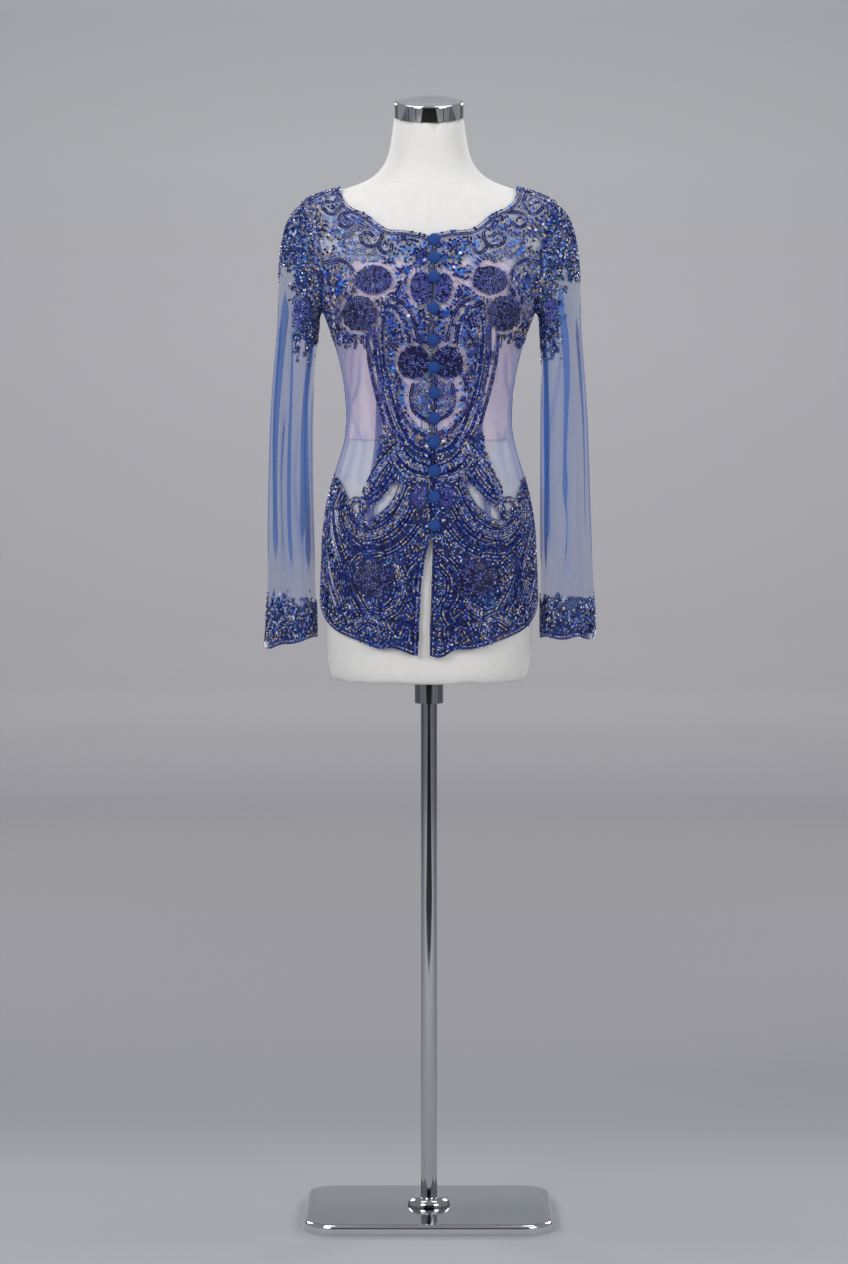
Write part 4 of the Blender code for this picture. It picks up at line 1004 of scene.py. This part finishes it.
def insetLine(tree, line, inset):
    # a line on the cloth, moved in from the edge that it follows
    places, normals = settleOn(tree, line)
    across = unit(np.cross(normals, alongLine(line)))
    inward = [tree.find_nearest(Vector(p + 6 * mm * a))[3] < tree.find_nearest(Vector(p - 6 * mm * a))[3]
              for p, a in zip(places, across)]
    sign = 1 if np.mean(inward) > 0.5 else -1
    return settleOn(tree, places + sign * inset * across)


def layRow(places, normals, mix, mask, sleeve=None, kind="seed", slant=0.0):
    # beads along one row, where the mask and the cloth are free
    if len(places) < 3:
        return
    ahead = alongLine(places)
    ahead = unit(ahead + slant * np.cross(normals, ahead))
    keep = np.array([m and claim(p, rows["reach"]) for p, m in zip(places, mask)], bool)
    if keep.any():
        tones = pickTones(mix, keep.sum(), (0.75, 1.3))
        addBeads(kind, places[keep], normals[keep], ahead[keep], tones, sleeve)


# the beaded flowers: rings of short beads that all point at the middle
flowers = {
    "ring": 3.9 * mm, "pitch": 3.25 * mm, "first": 1.9 * mm, "jitter": 0.2 * mm, "margin": 2.6 * mm,
    "clear": 0.6 * mm, "reach": 1.9 * mm, "over": 0.6 * mm,
    "flat": [  # on the cloth itself: x, z, half width, half height, side of the sleeve
        (-14.0, 1062.0, 11.0, 15.0, None), (25.0, 1062.0, 11.0, 15.0, None),
        (173.0, 1323.0, 9.0, 19.0, "Left"), (-184.0, 1321.0, 12.0, 20.0, "Right"),
    ],
}
flowerNodes = sorted(name for name in nodes if name.startswith("flower"))


def beadFlower(tree, x, z, halfWidth, halfHeight, mix="flower", side=None):
    radius = max(halfWidth, halfHeight)
    for k in range(60):  # the cloth round a flower stays clear
        angle = math.pi * k / 30
        place, normal = castAt(sleeveTrees[side] if side else bodyTree,
                               x + (halfWidth + flowers["margin"]) * math.cos(angle),
                               z + (halfHeight + flowers["margin"]) * math.sin(angle))
        if place:
            claim(place, flowers["clear"])
    for ring in np.arange(flowers["first"], radius, flowers["ring"]):
        count = max(5, int(2 * math.pi * ring / flowers["pitch"]))
        turn = random.random()
        hits = []
        for i in range(count):
            angle = 2 * math.pi * (i + turn) / count
            reach = ring + random.uniform(-1, 1) * flowers["jitter"]
            place, normal = castAt(tree, x + reach * halfWidth / radius * math.cos(angle),
                                   z + reach * halfHeight / radius * math.sin(angle))
            if place:
                hits.append((place, normal, (math.cos(angle), 0.0, math.sin(angle))))
        if hits:
            places, normals, outward = (np.array(column) for column in zip(*hits))
            outward = unit(outward - normals * (outward * normals).sum(axis=1)[:, None])
            tones = pickTones(mix, len(places), (0.7, 1.35))
            addBeads("bugle", places, normals, outward, tones, side and "Sleeve" + side)
            for place in places if side else settleOn(bodyTree, places)[0]:
                claim(place, flowers["reach"])


for name in flowerNodes:
    low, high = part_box(name)
    bed = skinTree([nodes[name]])
    beadFlower(bed, (low.x + high.x) / 2, (low.z + high.z) / 2, (high.x - low.x) / 2 + flowers["over"],
               (high.z - low.z) / 2 + flowers["over"], "flower" if low.z > 1.27 else "lowFlower")
    nodes[name].data.materials.clear()
    nodes[name].data.materials.append(stitchMaterial)
for x, z, halfWidth, halfHeight, side in flowers["flat"]:
    tree = sleeveTrees[side] if side else bodyTree
    beadFlower(tree, x * mm, z * mm, halfWidth * mm, halfHeight * mm, side=side)

rows = {
    "gap": 2.5 * mm, "pitch": 2.6 * mm, "reach": 1.7 * mm, "ropePitch": 2.3 * mm, "ropeOffset": 1.5 * mm,
    "slant": 0.65, "bareOffset": 3.35 * mm, "bareReach": 0.9 * mm, "firstEcho": 4.0 * mm,
    "firstEchoPastGap": 5.3 * mm, "jump": 8 * mm, "pastEdge": 3 * mm,
    "edges": {  # distance in from the edge, and colours
        "neck": [(3.9 * mm, "line"), (6.4 * mm, "line")],
        "closing": [(2.2 * mm, "line"), (4.9 * mm, "hip")],
        "hem": [(1.6 * mm, "line"), (4.3 * mm, "paleLine"), (7.0 * mm, "line")],
    },
}
for name in bodyNames + sleeveNames:
    sleeve = name.replace("sleeve", "Sleeve") if name in sleeveNames else None
    tree = skinTree([shells[name]])
    for stretch in freeStretches(name):
        line = evenLine(stretch, rows["pitch"])
        where = edgePart(line, edges["rowReach"])
        for part, wanted in rows["edges"].items():
            for inset, mix in wanted:
                layRow(*insetLine(tree, line, inset), mix, where == part, sleeve)


def castLine(line, facing, side):
    # runs of places on the cloth under a line of the plan, seen from in front (-1) or behind (1)
    middle = closureX if facing < 0 else 0.0
    runs, last = [[]], None
    for u, z in line:
        place, normal = castAt(bodyTree, middle + side * u * mm, z * mm, facing)
        if place is None or (last and (place - last).length > rows["jump"]):
            runs.append([])
            last = None
            continue
        runs[-1].append(place)
        last = place
    return [evenLine(np.array(run), rows["ropePitch"]) for run in runs if len(run) > 4]


waiting = []  # motif rows: order, middle line, offset, slant, colours
darkLines = []  # bare gaps beside the motifs
for mix, echoes, bare, points in bodyMotifs.values():
    for facing in (-1, 1):
        for side in (-1, 1):
            for hits in castLine(smoothLine(pairs(points), 1.5), facing, side):
                for sign in (-1, 1):
                    waiting.append((0, hits, sign * rows["ropeOffset"], sign * rows["slant"], mix))
                    if bare:
                        waiting.append((1, hits, sign * rows["bareOffset"], 0.0, None))
                    for echo in range(echoes):
                        offset = rows["firstEchoPastGap" if bare else "firstEcho"] + echo * rows["gap"]
                        echoMix = "darkLine" if echo % 2 else "paleLine"
                        waiting.append((2 + echo, hits, sign * offset, 0.0, echoMix))
waiting.sort(key=lambda row: row[0])
for order, line, offset, slant, mix in waiting:
    places, normals = settleOn(bodyTree, line)
    moved = places + offset * unit(np.cross(normals, alongLine(places)))
    near, normals = settleOn(bodyTree, moved)
    fine = np.linalg.norm(near - moved, axis=1) < rows["pastEdge"]
    if fine.sum() < 3:
        continue
    if mix is None:
        for place in near[fine]:
            claim(place, rows["bareReach"])
        if near[:, 2].mean() < 1.15:  # from the hip down they hold a dark cord
            darkLines.append((near[fine], normals[fine]))
        continue
    mask = fine & (workedShare(near, normals) > openFrom) if order else fine
    layRow(near, normals, mix, mask, slant=slant, kind="seed" if order else "rope")
print("bead rows laid")


def strewn(obj, spacing):
    # places strewn evenly over a shell, none nearer to another than the spacing
    group = bpy.data.node_groups.new("strewn", "GeometryNodeTree")
    group.interface.new_socket("Geometry", in_out="INPUT", socket_type="NodeSocketGeometry")
    group.interface.new_socket("Geometry", in_out="OUTPUT", socket_type="NodeSocketGeometry")
    spread = addNode(group, "GeometryNodeDistributePointsOnFaces", {
        "Mesh": addNode(group, "NodeGroupInput")}, distribute_method="POISSON")
    setInputs(spread, {"Distance Min": spacing, "Density Max": 5 / spacing**2, "Seed": 4})
    addNode(group, "NodeGroupOutput", {0: addNode(group, "GeometryNodePointsToVertices", {"Points": spread})})
    copy = linkObject("strewn", obj.data.copy())
    applyModifier(copy, "NODES", node_group=group)
    places = cornersOf(copy).reshape(-1, 3)
    bpy.data.objects.remove(copy)
    bpy.data.node_groups.remove(group)
    return places


def flowOf(places, normals):
    # the way a spray of beads leans at each place, turning slowly over the cloth
    angle = 7.0 * drift(places, 16 * mm, 3.0) + 1.1 * random.normal(size=len(places))
    side = unit(np.cross(normals, np.array([0.0, 0.0, 1.0]) + 0.001))
    up = np.cross(side, normals)
    return unit(np.cos(angle)[:, None] * up + np.sin(angle)[:, None] * side)


def scatter(tree, places, keep, mixOf, kind="rice", reach=1.9 * mm, sleeve=None):
    # loose beads where the plan is worked and the cloth still free
    near, normals = settleOn(tree, places[keep])
    free = np.array([claim(p, reach) for p in near], bool)
    near, normals = near[free], normals[free]
    ahead, mixes = flowOf(near, normals), mixOf(near, normals)
    for mix in sorted(set(mixes)):
        own = mixes == mix
        addBeads(kind, near[own], normals[own], ahead[own], pickTones(mix, own.sum()), sleeve)


def bodyMix(places, normals):
    u, z = planOf(places, normals)
    chest = np.where(drift(places, 12 * mm, 7.0) > 0.12, "skyLeaf", "leaf")
    chest = np.where((z < 1345) & (u > bandInner(z) - 2), "band", chest)
    return np.where(z < 1145, "hip", np.where(u > 138, "shoulder", chest)).astype("<U9")


def sleeveMix(places, normals):
    return np.where(places[:, 2] < 1.0, "cuff", "shoulder").astype("<U9")


def tinyMix(places, normals):
    return np.full(len(places), "tinyTan")


def worked(name, spacing):
    places = strewn(shells[name], spacing)
    near, normals = settleOn(bodyTree, places)
    return places, near, normals, workedShare(near, normals)


loose = {"close": 2.3 * mm, "open": 3.5 * mm, "openBack": 4.3 * mm, "leafReach": 2.8 * mm, "tiny": 2.6 * mm}
for name in bodyNames:
    places, near, normals, share = worked(name, loose["close"])
    scatter(bodyTree, places, (share > fullFrom) & (random.random(len(places)) < share), bodyMix)
    places, near, normals, share = worked(name, loose["openBack" if name == "backPanel" else "open"])
    sprays = drift(near, 6.5 * mm, 11.0)
    middle = (planOf(near, normals)[0] < 64) & (near[:, 2] < 1.345)
    sprays += np.where(middle, 0.45, 0.0)  # closer in the middle
    leafy = (share > openFrom) & (share < fullFrom) & (sprays > -0.24)
    scatter(bodyTree, places, leafy, bodyMix, "leaf", loose["leafReach"])
    places, near, normals, share = worked(name, loose["tiny"])
    between = (share > openFrom) & (share < fullFrom) & (random.random(len(places)) < 0.5)
    scatter(bodyTree, places, between, tinyMix, "tiny")
for side, tree in sleeveTrees.items():
    places = strewn(shells["sleeve" + side], loose["close"])
    keep = random.random(len(places)) < sleeveShare(places, side)
    scatter(tree, places, keep, sleeveMix, sleeve="Sleeve" + side)
for name, runs in sorted(beadPieces.items()):
    joinBeads(name, runs)

# how far couched thread closes the net: below the top of the hip, above it, and on the sleeves
underlay = {"hipTop": 1.146, "hip": 0.92, "above": 0.16, "sleeve": 0.75}
for name in bodyNames:
    near, normals = settleOn(bodyTree, cornersOf(shells[name]))
    closed = np.where(near[:, 2] < underlay["hipTop"], underlay["hip"], underlay["above"])
    writeShare(shells[name], "worked", np.where(workedShare(near, normals) > fullFrom, closed, 0.0))
for side in sides:
    share = sleeveShare(cornersOf(shells["sleeve" + side]), side) * underlay["sleeve"]
    writeShare(shells["sleeve" + side], "worked", share)
print("bead work ready")

# sewing: turned-in seams, cords, edges and loops

sewing = {
    "couched": 0.8 * mm, "couchedLift": 0.35 * mm, "seamLift": 0.3 * mm, "edge": 0.6 * mm,
    "seams": [  # two panels, and half width of the turned-in edge
        ("frontSide", "frontCentre", 5.5 * mm), ("frontSide", "backPanel", 4.0 * mm),
        ("frontCentre", "backPanel", 4.0 * mm), ("sleeve", "frontSide", 3.5 * mm),
        ("sleeve", "frontCentre", 3.5 * mm), ("sleeve", "backPanel", 3.5 * mm),
    ],
}


def ribbonMesh(name, lines, halfWidth, lift):
    # flat bands laid on the cloth, each along one line of places and normals
    points, faces = [], []
    for places, normals in lines:
        across = unit(np.cross(normals, alongLine(places)))
        start = len(points)
        for place, normal, aside in zip(places, normals, across):
            points += [place + normal * lift - aside * halfWidth, place + normal * lift * 1.6,
                       place + normal * lift + aside * halfWidth]
        for i in range(len(places) - 1):
            for corner in (start + 3 * i, start + 3 * i + 1):
                faces.append((corner, corner + 3, corner + 4, corner + 1))
    obj = meshPiece(name, points, faces)
    obj.data.shade_smooth()
    return obj


def cordMesh(name, lines, radius, around=6):
    # thin round cords, each along one line of places
    points, faces = [], []
    for line in lines:
        ahead = alongLine(line)
        aside = unit(np.cross(ahead, np.array([0.31, -0.83, 0.47])))
        up = np.cross(ahead, aside)
        start = len(points)
        for place, across, over in zip(line, aside, up):
            for turn in [k * 2 * math.pi / around for k in range(around)]:
                points.append(place + radius * (math.cos(turn) * across + math.sin(turn) * over))
        for low in range(start, len(points) - around, around):
            for k in range(around):
                following = (k + 1) % around
                faces.append((low + k, low + following, low + around + following, low + around + k))
        faces.append(tuple(range(start, start + around))[::-1])
        faces.append(tuple(range(len(points) - around, len(points))))
    obj = meshPiece(name, points, faces)
    obj.data.shade_smooth()
    return obj


def seamBetween(first, second):
    # the middle line of the seam where two shells meet, in runs
    near = nearTree(edgePoints[second])
    runs = []
    for run in openRuns(shells[first]):
        met = [near.find(Vector(p)) for p in run[:-1]]
        middle = (run[:-1] + np.array([m[0] for m in met])) / 2
        runs += splitRun(middle, [m[2] < edges["seamGap"] for m in met])
    return [evenLine(run, 5 * mm) for run in runs if len(run) > 5]


wholeTree = skinTree([shells[name] for name in bodyNames + sleeveNames])
tapes = {}
for firstKind, secondKind, halfWidth in sewing["seams"]:
    for side in sides:
        first, second = firstKind + side, secondKind + side * (secondKind != "backPanel")
        lines = [settleOn(wholeTree, run) for run in seamBetween(first, second)]
        if lines:
            name = "seam" + first[0].upper() + first[1:] + second[0].upper() + second[1:]
            tape = dress(ribbonMesh(name, lines, halfWidth, sewing["seamLift"]), seamTulle)
            tapes.setdefault(first, []).append(tape)

cord = ribbonMesh("couchedCord", darkLines, sewing["couched"], sewing["couchedLift"])
dress(cord, darkCord)

edgeLines = {"neck": [], "closing": []}
for name in bodyNames:
    for stretch in freeStretches(name):
        line = evenLine(stretch, 3 * mm)
        where = edgePart(line, edges["cordReach"])
        for part, found in edgeLines.items():
            if (where == part).sum() > 4:
                found.append(line[where == part])
dress(cordMesh("rolledEdge", edgeLines["neck"], sewing["edge"], 5), edgeThread)
dress(cordMesh("closingCord", edgeLines["closing"], sewing["edge"], 4), darkCord)

# buttons: crepe drawn over a domed mould and gathered underneath, each held by a loop
button = {"radius": 9.0 * mm, "dome": 6.2 * mm, "segments": 32}
loop = {"reach": 9.8 * mm, "width": 4.2 * mm, "radius": 0.75 * mm, "lift": 1.1 * mm, "aside": 1.5 * mm}
rimDepth = 0.22  # how far the dome's rolled rim goes below its widest line, as a share of its height

bpy.ops.mesh.primitive_uv_sphere_add(segments=button["segments"], ring_count=18, radius=1)
mould = bpy.context.object
makeActive(mould)
bpy.ops.object.mode_set(mode="EDIT")
bm = bmesh.from_edit_mesh(mould.data)
bmesh.ops.delete(bm, geom=[v for v in bm.verts if v.co.z < -0.5], context="VERTS")
bmesh.ops.holes_fill(bm, edges=[e for e in bm.edges if e.is_boundary], sides=0)
for v in bm.verts:
    height = max(v.co.z, -rimDepth) if v.co.z < 0 else v.co.z ** 0.92
    v.co.x *= button["radius"]
    v.co.y *= button["radius"]
    v.co.z = (height + rimDepth) / (1 + rimDepth) * button["dome"]
bmesh.update_edit_mesh(mould.data)
bpy.ops.object.mode_set(mode="OBJECT")
mould.data.shade_smooth()
loopLines = []
for name in sorted(n for n in nodes if n.startswith("button")):
    packed = cornersOf(nodes[name])
    middle = packed.mean(axis=0)
    facing = np.linalg.svd(packed - middle)[2][2]
    facing = facing if facing[1] < 0 else -facing
    seat = ((packed - middle) @ facing).min()
    own = linkObject("crepe" + name.title().replace("_", ""), mould.data.copy())
    turn = Vector((0, 0, 1)).rotation_difference(Vector(facing))
    own.matrix_world = Matrix.Translation(Vector(middle + facing * seat)) @ turn.to_matrix().to_4x4()
    settle(own)
    dress(own, crepeMaterial)
    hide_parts(name)
    centre = (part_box(name)[0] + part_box(name)[1]) / 2
    hits = []
    for k in range(19):  # from the closing edge round the back of the button and home again
        angle = math.pi * (0.5 + k / 18)
        hits.append(castAt(bodyTree, centre.x + loop["aside"] + loop["reach"] * math.cos(angle),
                           centre.z + loop["width"] * math.sin(angle)))
    loopLines.append(np.array([place + normal * loop["lift"] for place, normal in hits if place]))
bpy.data.objects.remove(mould)
dress(cordMesh("buttonLoops", loopLines, loop["radius"]), loopCord)
print("buttons, edges and loops ready")

# cover seams of the form: a raised line down the middle and one round the foot of the neck
seamPlan = {"radius": 1.3 * mm, "sunk": 0.85 * mm, "lowest": 0.83, "collarFront": 1.4965, "collarBack": 1.528}
formTree = skinTree([linenForm])
formLines = []
for facing, top in ((-1, seamPlan["collarFront"]), (1, seamPlan["collarBack"])):
    hits = [castAt(formTree, 0, z, facing) for z in np.arange(seamPlan["lowest"], top, 4 * mm)]
    formLines.append(np.array([place - normal * seamPlan["sunk"] for place, normal in hits if place]))
collar = []
for k in range(97):
    angle = 2 * math.pi * k / 96
    rise = (seamPlan["collarBack"] - seamPlan["collarFront"]) * (0.5 + 0.5 * math.sin(angle))
    start = Vector((0.25 * math.cos(angle), 0.25 * math.sin(angle), seamPlan["collarFront"] + rise + 0.03))
    hit = formTree.ray_cast(start, Vector((-math.cos(angle), -math.sin(angle), -0.12)))
    if hit[0]:
        collar.append(hit[0] - hit[1] * seamPlan["sunk"])
formLines.append(np.array(collar))
dress(cordMesh("formSeams", formLines, seamPlan["radius"], 8), linenMaterial)
print("form seams ready")
